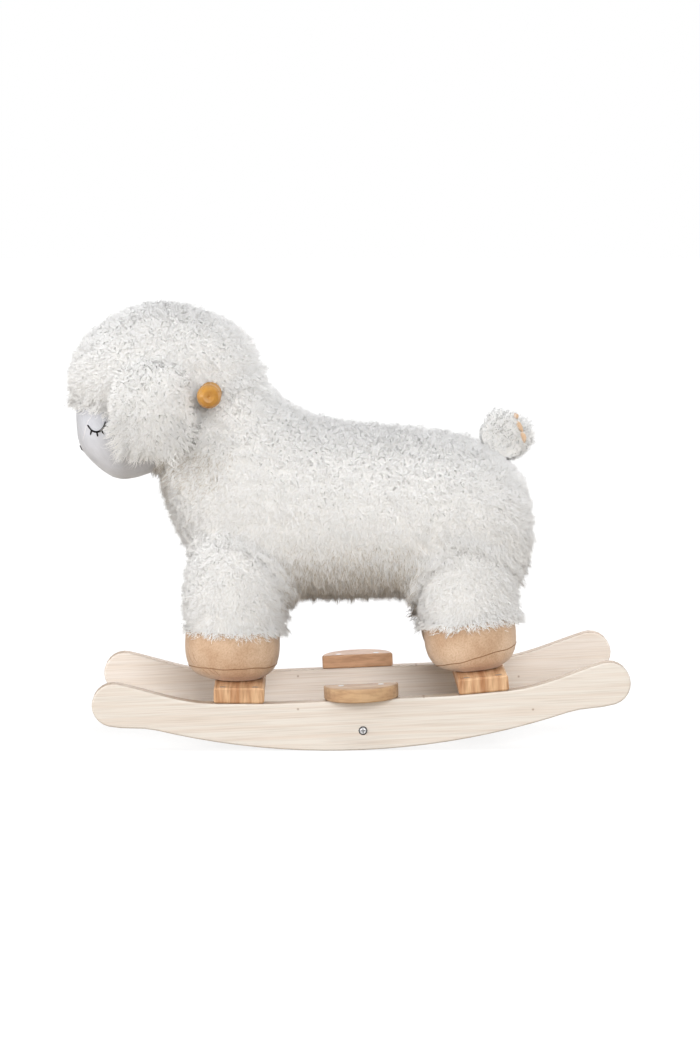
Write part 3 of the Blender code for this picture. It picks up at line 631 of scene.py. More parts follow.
def rounded(node, points, ways):
    """Points of a form with the creases rounded.

    These are where the legs meet the torso, and where the ears' tops meet the head.
    """
    if node == "tail":
        return points
    if node != "head" and node not in EARS:
        return points + rounding(body_field, points, ways)
    behind = share_between(points[:, :1], *EAR_BEHIND) * share_between(points[:, 2:], *EAR_FREE)
    merged = np.maximum(share_between(points[:, 2:], *EAR_MERGE), behind)
    merged = merged * (np.abs(points[:, 1:2]) > CREST_HALF_WIDTH)
    if node in EARS:
        merged *= ways[:, 1:2] * points[:, 1:2] > 0
    else:
        covered = [ear_tree.ray_cast(Vector(point), Vector(way), COVER_REACH)[0] is not None
                   for point, way in zip(points, ways)]
        merged *= 1 - np.array(covered, float)[:, None]
    return points + merged * rounding(head_field, points, ways)


# Fleece: the skin under the pile


def fleece_backing():
    made, tree, shader = new_material("fleece_backing", {"Roughness": 0.95, "Sheen Weight": 0.2})
    curls = stretched_noise(tree, (220, 220, 220), detail=3.0)
    base = ramp(tree, curls, [(0.3, (0.90, 0.885, 0.86)), (0.7, (0.94, 0.93, 0.91))])
    dress(tree, shader, base, curls, 2 * MM)
    return made


def new_piece(name, mesh, body):
    """A visible piece that rides on a body."""
    piece = new_object(name, mesh)
    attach(piece, body)
    return piece


def welded_copy(node, name):
    """A copy of a node's mesh with its doubled corners joined."""
    scratch = new_object("scratch", nodes[node].data.copy())
    add_modifier(scratch, "WELD", merge_threshold=0.02 * MM)
    return baked(scratch, name)


def baked(scratch, name):
    """The mesh that a scratch object's modifiers give. The object itself goes."""
    mesh = bpy.data.meshes.new_from_object(shown(scratch))
    mesh.name = name
    mesh.materials.clear()
    bpy.data.objects.remove(scratch)
    return mesh


def set_vertices(mesh, places):
    mesh.vertices.foreach_set("co", places.reshape(-1))
    mesh.update()


SAME_CORNER = 0.1 * MM


def point_tree(points, marks):
    """A search tree over points, each with a whole number as its mark."""
    found = KDTree(len(points))
    for point, mark in zip(points, marks):
        found.insert(point, int(mark))
    found.balance()
    return found


def make_skin(node, body, depth):
    """The sewn cloth under the pile: the node's form with its open surface drawn in."""
    mesh = welded_copy(node, "fleece_" + node)
    places = vertex_array(mesh)
    corners, normals = (array.reshape(-1, 3) for array in open_air[node])
    found = point_tree(corners, range(len(corners)))
    drawn_in = rounded(node, corners, normals) - normals * depth
    for index, place in enumerate(places):
        _, near, distance = found.find(place)
        if distance < SAME_CORNER:
            places[index] = drawn_in[near]
    set_vertices(mesh, places)
    mesh.shade_smooth()
    mesh.materials.append(backing)
    skin = new_piece("fleece_" + node, mesh, body)
    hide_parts(node)


backing = fleece_backing()


# Fleece: the pile, as real strands in tufts
WAVE_SPREAD = (0.7, 1.4)
TUFT_BEND = 1.4
LENGTH_SPREAD = (0.6, 1.35)
LENGTH_WAVE = 0.22
LENGTH_LIMITS = (0.5, 1.5)
BELLY_FROM = 0.2


def ripple(places, wavelength, seed, waves=7):
    """A smooth field of vectors that turns over about the wavelength, from a seeded set of waves."""
    rng = np.random.default_rng(seed)
    ways = unit(rng.normal(size=(waves, 3))) * (2 * pi / wavelength)
    ways *= rng.uniform(*WAVE_SPREAD, (waves, 1))
    phases = rng.uniform(0, 2 * pi, (waves, 3))
    total = np.zeros((len(places), 3))
    for way, phase in zip(ways, phases):
        total += np.sin((places @ way)[:, None] + phase)
    return total / sqrt(waves)


def tufted(lines, size, pull, rng):
    """Strands drawn towards the middle strand of their tuft, more so to their tips."""
    count = len(lines)
    leaders = rng.choice(count, max(1, count // size), replace=False)
    found = point_tree(lines[leaders, 0], leaders)
    nearest = np.array([found.find(root)[1] for root in lines[:, 0]])
    steps = np.linspace(0, 1, lines.shape[1])[None, :, None]
    return lines + (lines[nearest] - lines) * pull * steps ** TUFT_BEND


def strand_lines(points, normals, flow, pile, rng):
    """The centre lines of the strands: up from the skin, then over with the flow, hanging and curled."""
    count = len(points)
    lean = flow + pile["swirl"] * ripple(points, pile["swirl_size"], pile["seed"])
    lean += pile["stray"] * rng.normal(size=(count, 3))
    lay = unit(lean - dot(lean, normals) * normals)
    length = pile["length"] * rng.uniform(*LENGTH_SPREAD, (count, 1))
    length *= 1 + pile["belly"] * (-normals[:, 2:] - BELLY_FROM).clip(0, 1)
    if "longer" in pile:
        length *= 1 + pile["longer"](points)
    wave = ripple(points, pile["tuft_size"], pile["seed"] + 1)[:, :1]
    length = length * (1 + LENGTH_WAVE * wave).clip(*LENGTH_LIMITS)
    side = np.cross(normals, lay)
    phase = rng.uniform(0, 2 * pi, (count, 1))
    top = normals[:, 2:].clip(0, 1)
    bottom = (-normals[:, 2:]).clip(0, 1)
    lines = [points - normals * (pile["root"] - pile["raised"] * top + pile["sunk"] * bottom)]
    for step in range(3):
        rise = pile["rise"][step]
        turn = phase + step * pile["turn"]
        curl = pile["curl"] * (np.cos(turn) * side + np.sin(turn) * normals)
        way = unit(normals * rise + lay * (1 - rise) + curl + np.array((0, 0, -pile["hang"] * (step + 1))))
        lines.append(lines[-1] + way * length / 3)
    return np.stack(lines, axis=1)


RING = 3
STRAND_RADII = (0.8, 1.0, 0.75)
SHADES = 5
OWN_SHADING = 0.35


def side_faces(sides, steps):
    """The faces between the rings of a tube."""
    faces = []
    for low, corner in itertools.product(range(0, steps * sides, sides), range(sides)):
        after = (corner + 1) % sides
        faces.append((low + corner, low + after, low + sides + after, low + sides + corner))
    return faces


def strand_mesh(name, lines, outward, width, shades):
    """Closed tapering strands of three sides round their centre lines.

    Their shading normals lean outwards from the body, so that the pile shades softly as one surface.
    """
    count = len(lines)
    way = unit(lines[:, 1] - lines[:, 0])
    helper = np.where(np.abs(way[:, 2:]) < 0.8, np.array((0.0, 0, 1)), np.array((1.0, 0, 0)))
    side = unit(np.cross(way, helper))
    across = np.cross(way, side)
    places, leans = [], []
    for step, radius in enumerate(STRAND_RADII):
        for corner in range(RING):
            turn = 2 * pi * corner / RING
            offset = side * cos(turn) + across * sin(turn)
            places.append(lines[:, step] + offset * radius * width / 2)
            leans.append(unit(outward + OWN_SHADING * offset))
    places = np.stack(places + [lines[:, 3]], axis=1)
    leans = np.stack(leans + [outward], axis=1)
    tip = places.shape[1] - 1
    last = tip - RING
    faces = [(0, 2, 1)] + side_faces(RING, len(STRAND_RADII) - 1)
    faces += [(last + corner, last + (corner + 1) % RING, tip) for corner in range(RING)]
    loops = np.concatenate(faces)[None, :] + (tip + 1) * np.arange(count)[:, None]
    sizes = np.tile([len(face) for face in faces], count)
    mesh = bpy.data.meshes.new(name)
    mesh.vertices.add(count * (tip + 1))
    mesh.vertices.foreach_set("co", places.reshape(-1))
    mesh.loops.add(loops.size)
    mesh.loops.foreach_set("vertex_index", loops.reshape(-1).astype(np.int32))
    mesh.polygons.add(len(sizes))
    mesh.polygons.foreach_set("loop_start", (np.cumsum(sizes) - sizes).astype(np.int32))
    for shade in pile_shades:
        mesh.materials.append(shade)
    slots = np.repeat(shades[:, None], len(faces), axis=1)
    slots[:, :1 + RING] = 0
    mesh.polygons.foreach_set("material_index", slots.reshape(-1).astype(np.int32))
    mesh.update(calc_edges=True)
    mesh.shade_smooth()
    shading = mesh.attributes.new("custom_normal", "FLOAT_VECTOR", "POINT")
    shading.data.foreach_set("vector", leans.reshape(-1))
    return mesh


def make_pile_shades():
    """The pile's tones: its roots, three near whites along the strands, and a brown-grey one for painted
    shade.
    """
    finish = {"Roughness": 0.9, "Sheen Weight": 0.6, "Sheen Roughness": 0.5}
    tones = ((0.955, 0.945, 0.925), (0.975, 0.975, 0.968), (0.985, 0.985, 0.985), (0.88, 0.87, 0.845),
             (0.60, 0.54, 0.46))
    made = []
    for index, tone in enumerate(tones):
        shade, tree, shader = new_material(f"pile_{index}", finish)
        feed(tree, shader.inputs["Base Color"], tone)
        made.append(shade)
    return made


pile_shades = make_pile_shades()
MOST_STRANDS = 12000
SHADE_ODDS = (0.45, 0.35, 0.2)
LOWEST_LEAN = -0.25
SAME_WAY = 0.4
# Painted shade on the pile: darker towards the torso's underside, and a painted shadow below the ears
PAINTED_SHADE_FROM = 0.25
MOST_PAINTED_SHADE = 0.85
CREASE = 1.5 * MM
FULL_CREASE = 4 * MM
CREASE_SHARE = 0.7
EAR_PAINTED_SHADOW_REACH = 52 * MM
EAR_PAINTED_SHADOW_START = 1.35
EAR_PAINTED_SHADOW_TOP = 0.345
EAR_PAINTED_SHADOW_FADE = 12 * MM
EAR_PAINTED_SHADOW = 0.65


def shading_ways(node, points, ways):
    """The normals that the pile's shading leans to: the smoothed ones, where these agree with its own."""
    if node == "tail":
        return ways
    field = unit(soft_at(whole_field, points)[1])
    same = (dot(field, ways) + SAME_WAY).clip(0, 1)
    found = unit(ways * (1 - same) + field * same)
    if node != "torso":
        found[:, 2] = found[:, 2].clip(LOWEST_LEAN, None)
    return unit(found)


def painted_shade_share(node, points, outward):
    """How much of the pile takes the brown-grey tone of painted shade: on the torso's underside, and as a
    painted shadow below the ears.
    """
    share = np.zeros(len(points))
    if node == "torso":
        share = share_between(-outward[:, 2], PAINTED_SHADE_FROM, 1)
    near = np.array([ear_tree.find_nearest(Vector(point))[3] for point in points])
    shaded = (EAR_PAINTED_SHADOW_START - near / EAR_PAINTED_SHADOW_REACH).clip(0, 1)
    shaded *= ((EAR_PAINTED_SHADOW_TOP - points[:, 2]) / EAR_PAINTED_SHADOW_FADE).clip(0, 1)
    return np.maximum(share, EAR_PAINTED_SHADOW * shaded)


def everywhere(points):
    return np.ones(len(points), bool)


def make_pile(node, body, flow, pile, keep=everywhere):
    """The pile of one form, cut into pieces of a size that the export takes whole."""
    rng = np.random.default_rng(pile["seed"])
    corners, normals = open_air[node]
    spacing = pile["spacing"]
    evenly, closer = (scatter(corners, normals, gap, rng) for gap in (spacing, spacing * CREASE_SHARE))
    points, ways = (np.concatenate(pair) for pair in zip(evenly, closer))
    moved = rounded(node, points, ways)
    even = np.arange(len(points)) < len(evenly[0])
    kept = (even | (lengths(moved - points)[:, 0] > CREASE)) & keep(moved)
    points, moved, ways = points[kept], moved[kept], ways[kept]
    outward = shading_ways(node, moved, ways)
    share = (lengths(moved - points) / FULL_CREASE).clip(0, 1)
    stand = unit(ways * (1 - share) + outward * (1 + 2 * share))
    lines = strand_lines(moved, stand, flow(moved), pile, rng)
    if body == SHEEP:
        edges, edge_ways = border_points(corners, normals, BORDER_SPACING, rng)
        edges = rounded(node, edges + BORDER_SPREAD * rng.normal(size=edges.shape), edge_ways)
        kept = keep(edges)
        edges, edge_ways = edges[kept], edge_ways[kept]
        edge_outward = shading_ways(node, edges, edge_ways)
        edge_lines = strand_lines(edges, edge_outward, flow(edges), {**pile, **BORDER_PILE}, rng)
        lines = np.concatenate((lines, edge_lines))
        outward = np.concatenate((outward, edge_outward))
    lines = tufted(lines, pile["tuft"], pile["pull"], rng)
    roots = lines[:, 0]
    shades = rng.choice(SHADES - 2, len(lines), p=SHADE_ODDS) + 1
    # Painted shade: strands on the torso's underside and below the ears take the brown-grey tone
    if node in ("torso", "head"):
        dull = MOST_PAINTED_SHADE * painted_shade_share(node, roots, outward)
        shades = np.where(rng.random(len(lines)) < dull, SHADES - 1, shades)
    order = np.argsort(roots[:, 0])
    for index, part in enumerate(np.array_split(order, ceil(len(lines) / MOST_STRANDS))):
        name = f"pile_{node}_{index + 1}"
        mesh = strand_mesh(name, lines[part], outward[part], pile["width"], shades[part])
        new_piece(name, mesh, body)


def steady(x, y, z):
    """The same flow everywhere."""
    return lambda points: np.tile(np.array((x, y, z), float), (len(points), 1))


def away_from(x, y, z):
    """A flow that spreads from a crown."""
    return lambda points: unit(points - np.array((x, y, z)))


BASE_PILE = {"spacing": 1.4 * MM, "length": 11 * MM, "width": 0.58 * MM, "root": 6 * MM, "seed": 10,
             "raised": 2.5 * MM, "sunk": 2.5 * MM, "swirl": 0.6, "swirl_size": 45 * MM, "stray": 1.2,
             "tuft_size": 14 * MM, "tuft": 7, "pull": 0.38, "rise": (1.0, 0.88, 0.60), "curl": 0.52,
             "turn": 1.9, "hang": 0.10, "belly": 0.45}
FLAP_PILE = {**BASE_PILE, "length": 12 * MM, "root": 4 * MM, "raised": 0}
BORDER_PILE = {"root": 2 * MM, "raised": 0, "sunk": 0, "stray": 1.3, "length": 12 * MM,
               "rise": (0.9, 0.8, 0.6)}
BORDER_SPACING = 0.16 * MM
BORDER_SPREAD = 3 * MM
SKIN_DEPTH = 5 * MM
FLAP_DEPTH = 3 * MM

CROWN = (middle_of("head").x + 20 * MM, 0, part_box("head")[1].z - 10 * MM)
TAIL_ROOT = np.array((0.175306, 0, 0.334087))
TAIL_UP = np.array((0.523986, 0, 0.851727))
TAIL_PLAIN = 30 * MM
TAIL_REACH = 12 * MM
TAIL_LONGER = 0.45
TAIL_NEAR = 24 * MM
TAIL_SHORTER = 0.7
TAIL_CROWN = 10 * MM
EAR_CROWN_AHEAD = 5 * MM
EAR_CROWN_DROP = 25 * MM
EAR_LONGER = 0.8
TAIL_LINING = (((514.8, 413.4), (517.6, 418.6)), ((517.4, 421.0), (519.4, 426.0), (522.8, 432.0)),
               ((521.0, 431.6), (523.6, 436.6), (524.6, 442.6)))
LINING_RADIUS = 3.0 * MM
LINING_SHARE = 0.88
LINING_OVERLAP = 1.8 * MM
HANDLE = np.array(middle_of("handle_grip_left"))[[0, 2]]
HANDLE_CLEAR = 15.5 * MM
HEM_SHORTER = {"front": 0.65, "rear": 0.1}
HEM_REACH = 16 * MM
HEM_WAVE = 0.3
HEM_WAVELENGTH = 30 * MM
HEM_SEED = 60
HEM_LIMITS = (-0.75, 0.6)


def row_of(end):
    """Whether a leg is in the front or the rear row."""
    return end.split("_")[0]


def lower_corners(middle, half):
    """How much longer the pile is towards the lower corners of an ear."""
    def longer(points):
        down = ((middle.z - points[:, 2:]) / half.z).clip(0, 1)
        along = np.abs((points[:, :1] - middle.x) / half.x).clip(0, 1)
        return EAR_LONGER * (2 * down * along).clip(0, 1)
    return longer


def tail_top(points):
    """How much longer the pile is towards the tail's upper edge, and how much shorter near its root."""
    rise = ((points - TAIL_ROOT) @ TAIL_UP)[:, None]
    longer = TAIL_LONGER * ((rise - TAIL_PLAIN) / TAIL_REACH).clip(0, 1)
    return longer - TAIL_SHORTER * (1 - rise / TAIL_NEAR).clip(0, 1)


def uneven_hem(cover, shorter):
    """How much longer or shorter the pile is near a leg cover's hem: shorter at the toe, and uneven."""
    low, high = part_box(cover)

    def longer(points):
        toe_side = share_between(points[:, :1], high.x, low.x)
        near = (1 - (points[:, 2:] - low.z) / HEM_REACH).clip(0, 1)
        wave = HEM_WAVE * ripple(points, HEM_WAVELENGTH, HEM_SEED)[:, :1]
        return near * (wave - shorter * toe_side).clip(*HEM_LIMITS)
    return longer


def off_handle(points):
    """Whether points are clear of the handle."""
    return np.linalg.norm(points[:, (0, 2)] - HANDLE, axis=1) > HANDLE_CLEAR


make_skin("torso", SHEEP, SKIN_DEPTH)
make_pile("torso", SHEEP, steady(0.35, 0, -1), BASE_PILE, off_handle)
make_skin("head", SHEEP, SKIN_DEPTH)
make_pile("head", SHEEP, away_from(*CROWN), {**BASE_PILE, "seed": 20}, off_handle)
for pile_seed, leg_end in enumerate(ENDS, 30):
    cover = "leg_cover_" + leg_end
    make_skin(cover, SHEEP, SKIN_DEPTH)
    cover_pile = {**BASE_PILE, "seed": pile_seed, "longer": uneven_hem(cover, HEM_SHORTER[row_of(leg_end)])}
    make_pile(cover, SHEEP, steady(0, 0, -1), cover_pile)
for pile_seed, ear in enumerate(EARS, 40):
    make_skin(ear, ear, FLAP_DEPTH)
    ear_middle = middle_of(ear)
    ear_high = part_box(ear)[1]
    ear_pile = {**FLAP_PILE, "seed": pile_seed, "rise": (1.0, 0.80, 0.50), "spacing": 1.25 * MM,
                "pull": 0.35, "longer": lower_corners(ear_middle, ear_high - ear_middle)}
    ear_flow = away_from(ear_middle.x - EAR_CROWN_AHEAD, ear_middle.y, ear_high.z - EAR_CROWN_DROP)
    make_pile(ear, ear, ear_flow, ear_pile)

lining_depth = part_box("tail")[0].y * LINING_SHARE


def on_lining(pixel):
    """Where the camera sees a pixel, at the depth of the tail's lining."""
    way = sight(pixel)
    return CAMERA_PLACE + way * ((lining_depth - CAMERA_PLACE.y) / way.y)


lining = [smooth_line([on_lining(pixel) for pixel in patch], 5) for patch in TAIL_LINING]


def off_lining(points):
    """Whether points are clear of the tail's tan lining."""
    line = np.array([(point.x, point.z) for patch in lining for point in patch])
    near = np.linalg.norm(points[:, None, (0, 2)] - line[None, :, :], axis=2).min(axis=1)
    return (near > LINING_RADIUS - LINING_OVERLAP) | (points[:, 1] > 0)


make_skin("tail", "tail", FLAP_DEPTH)
tail_pile = {**FLAP_PILE, "seed": 50, "hang": 0.0, "rise": (0.9, 0.65, 0.35), "spacing": 1.2 * MM,
             "pull": 0.3, "longer": tail_top}
make_pile("tail", "tail", away_from(*(TAIL_ROOT + TAIL_UP * TAIL_CROWN)), tail_pile, off_lining)


# Smooth sewn cloth and thread
def napped_cloth(name, light, dark, nap, finish, stretch, slant):
    """Short-napped cloth: the nap lies in fine slanting strokes, over soft lighter and darker fields."""
    made, tree, shader = new_material(name, finish)
    fields = stretched_noise(tree, (28, 28, 28), detail=2.0)
    strokes = stretched_noise(tree, stretch, (0, radians(slant), 0), 5.0, 0.2)
    base = ramp(tree, fields, [(0.35, dark), (0.65, light)])
    base = mixed(tree, "MULTIPLY", 1.0, base, ramp(tree, strokes, [(0.3, nap), (0.6, WHITE)]))
    dress(tree, shader, base, strokes, 0.5 * MM, 0.6)
    return made


def thread_material(name, tone, deep):
    """Twisted thread: fine slanting plies."""
    made, tree, shader = new_material(name, {"Roughness": 0.7, "Specular IOR Level": 0.1})
    plies = stretched_noise(tree, (900, 900, 900), detail=1.0)
    dress(tree, shader, ramp(tree, plies, [(0.35, deep), (0.65, tone)]), plies, 0.3 * MM, 0.6)
    return made


soft_finish = {"Roughness": 0.75, "Sheen Weight": 0.35, "Sheen Roughness": 0.4}
dry_finish = {"Roughness": 0.85, "Sheen Weight": 0.25, "Sheen Roughness": 0.5}
tan_nap = (0.80, 0.74, 0.68)
velboa = napped_cloth("face_cloth", (0.585, 0.595, 0.64), (0.505, 0.515, 0.555),
                      (0.93, 0.93, 0.935), soft_finish, (500, 500, 90), 35)
# Painted highlight: the seams' cloth is a lighter copy of the velboa, for the light that a seam's ridge
# catches
seam_painted_highlight_cloth = napped_cloth("seam_painted_highlight_cloth", (0.76, 0.755, 0.79), (0.70, 0.695, 0.73),
                          (0.95, 0.95, 0.95), {**soft_finish, "Sheen Roughness": 0.5},
                          (500, 500, 90), 35)
suede = napped_cloth("foot_cloth", (0.655, 0.48, 0.34), (0.53, 0.355, 0.23), tan_nap,
                     dry_finish, (700, 700, 420), -30)
# Painted shade: the folds' cloth is a darker copy of the suede
fold_painted_shade_cloth = napped_cloth("fold_painted_shade_cloth", (0.50, 0.345, 0.235), (0.42, 0.27, 0.17), tan_nap,
                          dry_finish, (700, 700, 420), -30)
lining_cloth = napped_cloth("lining_cloth", (0.74, 0.53, 0.36), (0.62, 0.42, 0.27),
                            (0.86, 0.82, 0.78), dry_finish, (420, 420, 110), -30)
black_thread = thread_material("black_thread", (0.014, 0.013, 0.014), (0.006, 0.006, 0.006))
grey_thread = thread_material("grey_thread", (0.10, 0.095, 0.10), (0.05, 0.048, 0.05))
brown_thread = thread_material("brown_thread", (0.33, 0.19, 0.10), (0.22, 0.12, 0.06))

# Smooth sewn forms: the face and the feet
VOXEL = 3.5 * MM
OPEN_MARGIN = 0.2 * MM
DRAWN_IN = 0.5
PRESSURE = 4
CLOTH_FRAMES = 20


def stuffed_form(node, name, cloth, room, fuller):
    """A node's form as stuffed cloth: remeshed, drawn in, then blown up by Blender's cloth.

    Only what the open air reaches may move, and no point by more than the room given.
    """
    scratch = new_object("scratch", welded_copy(node, "scratch"))
    add_modifier(scratch, "REMESH", mode="VOXEL", voxel_size=VOXEL)
    mesh = baked(scratch, name)
    outer = tree_of([node])
    found = triangle_tree(open_air[node][0])
    places = vertex_array(mesh)
    free = np.zeros((len(places), 1))
    outward = np.zeros_like(places)
    for index, place in enumerate(places):
        _, normal, _, to_open = found.find_nearest(place)
        if to_open < outer.find_nearest(place)[3] + OPEN_MARGIN:
            free[index] = 1
            outward[index] = normal
    piece = new_object(name, mesh)
    places = places + free * fuller(places)
    start = places - outward * room * DRAWN_IN
    set_vertices(mesh, start)
    pins = piece.vertex_groups.new(name="pins")
    pins.add([int(index) for index in np.flatnonzero(free == 0)], 1.0, "REPLACE")
    swell(piece, mesh, start, places, free, room)
    mesh.materials.append(cloth)
    mesh.shade_smooth()
    add_modifier(piece, "SUBSURF", levels=1, render_levels=1)
    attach(piece, SHEEP)
    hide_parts(node)
    return piece


def swell(piece, mesh, start, places, free, room):
    """A few frames of cloth under pressure, with each point's way capped."""
    cloth = add_modifier(piece, "CLOTH")
    apply(cloth.settings, {"use_pressure": True, "uniform_pressure_force": PRESSURE,
                           "vertex_group_mass": "pins", "quality": 5})
    cloth.settings.effector_weights.gravity = 0
    apply(cloth.point_cache, {"frame_start": 1, "frame_end": CLOTH_FRAMES})
    for step in range(1, CLOTH_FRAMES + 1):
        scene.frame_set(step)
    way = capped(vertex_array(shown(piece).data) - places, room)
    piece.modifiers.remove(cloth)
    scene.frame_set(1)
    set_vertices(mesh, np.where(free > 0, places + way, start))


CHIN_X = -0.272
CHIN_REACH = 24 * MM
CHIN_DROP = 6 * MM
CHIN_HEIGHTS = (0.350, 0.318)


def chin(places):
    """How far the stuffing pushes the chin down, in front of the throat."""
    along = np.exp(-((places[:, 0] - CHIN_X) / CHIN_REACH) ** 2)
    low = share_between(places[:, 2], *CHIN_HEIGHTS)
    pushed = np.zeros_like(places)
    pushed[:, 2] = -CHIN_DROP * along * eased(low)
    return pushed


TOE_PUSH = {"front": 4 * MM, "rear": 1 * MM}
TOE_SHARE = 0.4


def toe(foot, push):
    """How far the stuffing pushes a foot's toe forwards."""
    low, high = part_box(foot)

    def pushed(places):
        near = (1 - (places[:, 0] - low.x) / (TOE_SHARE * (high.x - low.x))).clip(0, 1)
        way = np.zeros_like(places)
        way[:, 0] = -push * eased(near)
        return way
    return pushed


face = stuffed_form("face", "face_form", velboa, 2.0 * MM, chin)
feet = {end: stuffed_form("foot_" + end, "foot_form_" + end, suede, 2.5 * MM,
                          toe("foot_" + end, TOE_PUSH[row_of(end)])) for end in ENDS}

# The sleeping eyes, the nose and the seams
EYE_ARC = ((88.0, 425.1), (91.8, 430.1), (96.1, 431.8), (100.1, 431.0), (102.6, 428.9), (104.4, 425.5),
           (105.5, 421.6))
EYE_LASHES = (((91.8, 430.1), (90.6, 434.7)), ((97.0, 432.0), (97.9, 436.4)),
              ((101.6, 430.2), (104.1, 434.2)), ((104.5, 425.4), (109.1, 427.8)))
GUSSET_SEAM = ((98.0, 396.0), (94.4, 404.0), (90.6, 413.0), (87.7, 421.6), (84.6, 433.0), (83.0, 441.0))
NOSE_HALF_WIDTH = 9 * MM
NOSE_TOP = 444.5
NOSE_LOW = 449.0
NOSE_BEND = 0.35
STEM_SHARE = 0.5
TAPER_RATE = 3


def surface_tree(piece):
    """A search tree over a piece as its modifiers show it."""
    evaluated = shown(piece)
    corners = corner_array(evaluated.to_mesh())
    evaluated.to_mesh_clear()
    return triangle_tree(corners)


def tube_mesh(name, line, radii, made, sides=8):
    """A closed round thread along a line."""
    places = []
    for index, point in enumerate(line):
        before = line[max(index - 1, 0)]
        after = line[min(index + 1, len(line) - 1)]
        way = (after - before).normalized()
        side = way.orthogonal().normalized()
        if index:
            side = (last - way * last.dot(way)).normalized()
        last = side
        across = way.cross(side)
        for corner in range(sides):
            turn = 2 * pi * corner / sides
            places.append(point + (side * cos(turn) + across * sin(turn)) * radii[index])
    faces = side_faces(sides, len(line) - 1)
    faces += [tuple(reversed(range(sides))), tuple(range(len(places) - sides, len(places)))]
    mesh = bpy.data.meshes.new(name)
    mesh.from_pydata([tuple(place) for place in places], [], faces)
    mesh.update()
    mesh.shade_smooth()
    mesh.materials.append(made)
    return mesh


def on_surface(tree, points, lift):
    """Points moved to the nearest place on a surface, and lifted off it."""
    near = [tree.find_nearest(point) for point in points]
    return [place + normal * lift for place, normal, _, _ in near]


def tapered(count, radius, ends):
    """Radii that fall to the given share of the radius at both ends."""
    rates = [TAPER_RATE * min(k, count - 1 - k) / max(count - 1, 1) for k in range(count)]
    return [radius * min(1.0, ends + (1 - ends) * rate) for rate in rates]


def mirrored(line):
    return [Vector((point.x, -point.y, point.z)) for point in line]


def make_thread(name, tree, line, size, made, ends=0.6, sides=8):
    """A thread on a surface. Its size is its radius, and how far its middle stands off the surface."""
    radius, lift = size
    laid = on_surface(tree, line, lift)
    new_piece(name, tube_mesh(name, laid, tapered(len(laid), radius, ends), made, sides), SHEEP)


def height_at(row):
    """The height that the camera sees at a pixel row, at the middle plane."""
    way = sight((PHOTO_WIDTH / 2, row))
    return CAMERA_PLACE.z - way.z * CAMERA_PLACE.y / way.y


ARC_SIZE = (1.15 * MM, 0.6 * MM)
LASH_SIZE = (0.95 * MM, 0.5 * MM)
FACE_SEAM_SIZE = (0.7 * MM, -0.2 * MM)
NOSE_SIZE = (1.1 * MM, 0.5 * MM)
MOUTH_SIZE = (0.6 * MM, 0.3 * MM)


def make_face_details():
    tree = surface_tree(face)
    arc = seen_on(tree, EYE_ARC, 5)
    seam = seen_on(tree, GUSSET_SEAM, 5)
    lashes = [seen_on(tree, lash, 4) for lash in EYE_LASHES]
    for side, turned in (("left", list), ("right", mirrored)):
        make_thread(f"eye_arc_{side}", tree, turned(arc), ARC_SIZE, black_thread)
        for index, lash in enumerate(lashes):
            make_thread(f"eye_lash_{side}_{index + 1}", tree, turned(lash), LASH_SIZE, black_thread)
        make_thread(f"face_seam_{side}", tree, turned(seam), FACE_SEAM_SIZE, seam_painted_highlight_cloth)
    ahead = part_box("face")[0].x - RAY_MARGIN
    top, low = height_at(NOSE_TOP), height_at(NOSE_LOW)
    foot = Vector((ahead, 0, low))
    wings = [Vector((ahead, side * NOSE_HALF_WIDTH, top)) for side in (-1, 1)]
    bends = [foot + (wing - foot) * NOSE_BEND for wing in wings]
    nose = smooth_line([wings[0], bends[0], foot, bends[1], wings[1]], 5)
    stem = smooth_line([foot, foot + Vector((0, 0, (low - top) * STEM_SHARE))], 4)
    for name, line, size in (("nose_stitch", nose, NOSE_SIZE), ("mouth_stitch", stem, MOUTH_SIZE)):
        laid = [tree.ray_cast(point, Vector((1, 0, 0)))[0] for point in line]
        make_thread(name, tree, laid, size, grey_thread)


make_face_details()

for patch_index, lining_patch in enumerate(lining):
    patch_name = f"tail_lining_{patch_index + 1}"
    patch_radii = tapered(len(lining_patch), LINING_RADIUS, 0.3)
    new_piece(patch_name, tube_mesh(patch_name, lining_patch, patch_radii, lining_cloth), "tail")

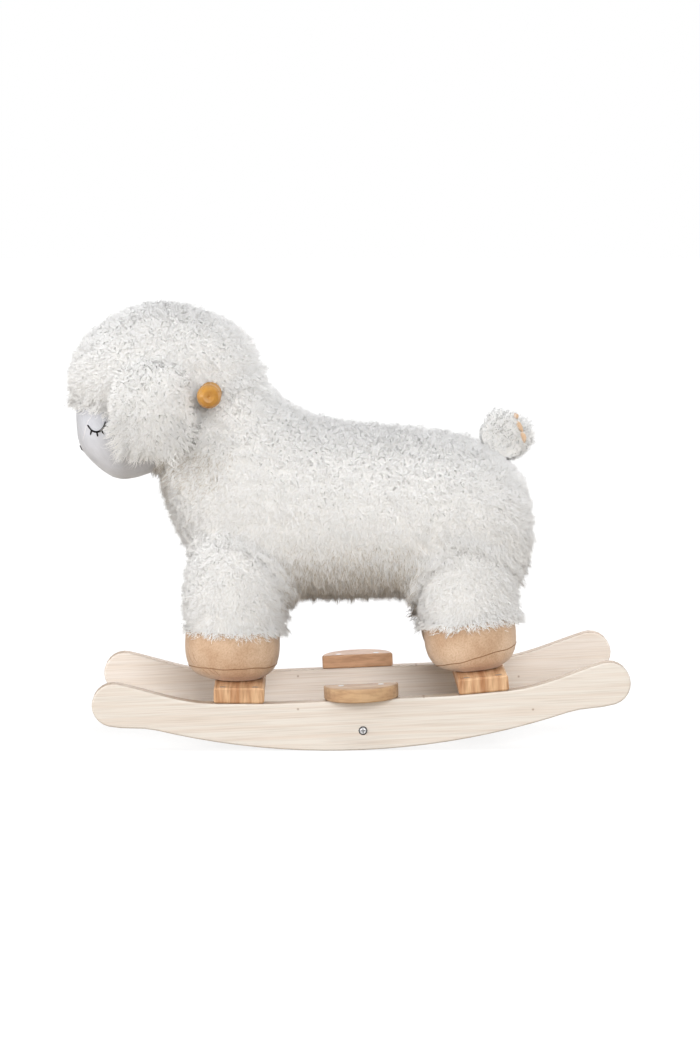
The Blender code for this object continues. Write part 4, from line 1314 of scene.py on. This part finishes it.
# The feet's sole seams
SOLE_SEAM = {"front": (17.5 * MM, 0.0), "rear": (20 * MM, 0.24)}
SOLE_SEAM_SIZE = (0.55 * MM, 0.05 * MM)
SEAM_STEPS = 96
SEAM_WAVES = ((0.6 * MM, 5, 1), (0.3 * MM, 11, 0))
SEAM_START = 0.12


def make_sole_seam(end):
    """The seam round a foot: at a height, with a slope to the rear, and slightly wavy."""
    tree = surface_tree(feet[end])
    low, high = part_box("foot_" + end)
    middle = middle_of("foot_" + end)
    height, slope = SOLE_SEAM[row_of(end)]
    line = []
    for step in range(SEAM_STEPS + 1):
        turn = 2 * pi * step / SEAM_STEPS
        way = Vector((cos(turn), sin(turn), 0))
        wave = sum(size * sin(count * turn + phase) for size, count, phase in SEAM_WAVES)
        rise = height + slope * (high.x - low.x) / 2 * way.x + wave
        start = Vector((middle.x, middle.y, low.z + rise)) + way * SEAM_START
        place = tree.ray_cast(start, -way)[0]
        if place is not None:
            line.append(place)
    make_thread(f"sole_seam_{end}", tree, line, SOLE_SEAM_SIZE, brown_thread, 1.0, 6)


for foot_end in ENDS:
    make_sole_seam(foot_end)

# Small folds at the front feet's toes: thin ridges in a darker cloth, as painted shade in the creases
TOE_FOLDS = (((205.5, 666.8), (210.7, 671.0), (217.5, 676.0)),
             ((209.8, 667.0), (215.8, 671.8), (221.0, 676.5)),
             ((201.2, 668.0), (206.5, 672.3), (211.5, 676.0)),
             ((188.5, 652.0), (191.0, 659.4), (194.8, 664.8)),
             ((192.0, 651.0), (194.5, 658.6), (198.8, 664.0)),
             ((187.5, 646.5), (189.0, 653.1), (190.2, 657.0)))
FOLD_SIZE = (0.6 * MM, 0.0)


def make_folds():
    trees = {side: surface_tree(feet["front_" + side]) for side in ("left", "right")}
    for index, fold in enumerate(TOE_FOLDS):
        line = seen_on(trees["left"], fold, 6)
        for side, turned in (("left", list), ("right", mirrored)):
            make_thread(f"toe_fold_{side}_{index + 1}", trees[side], turned(line), FOLD_SIZE, fold_painted_shade_cloth,
                        0.1)


make_folds()
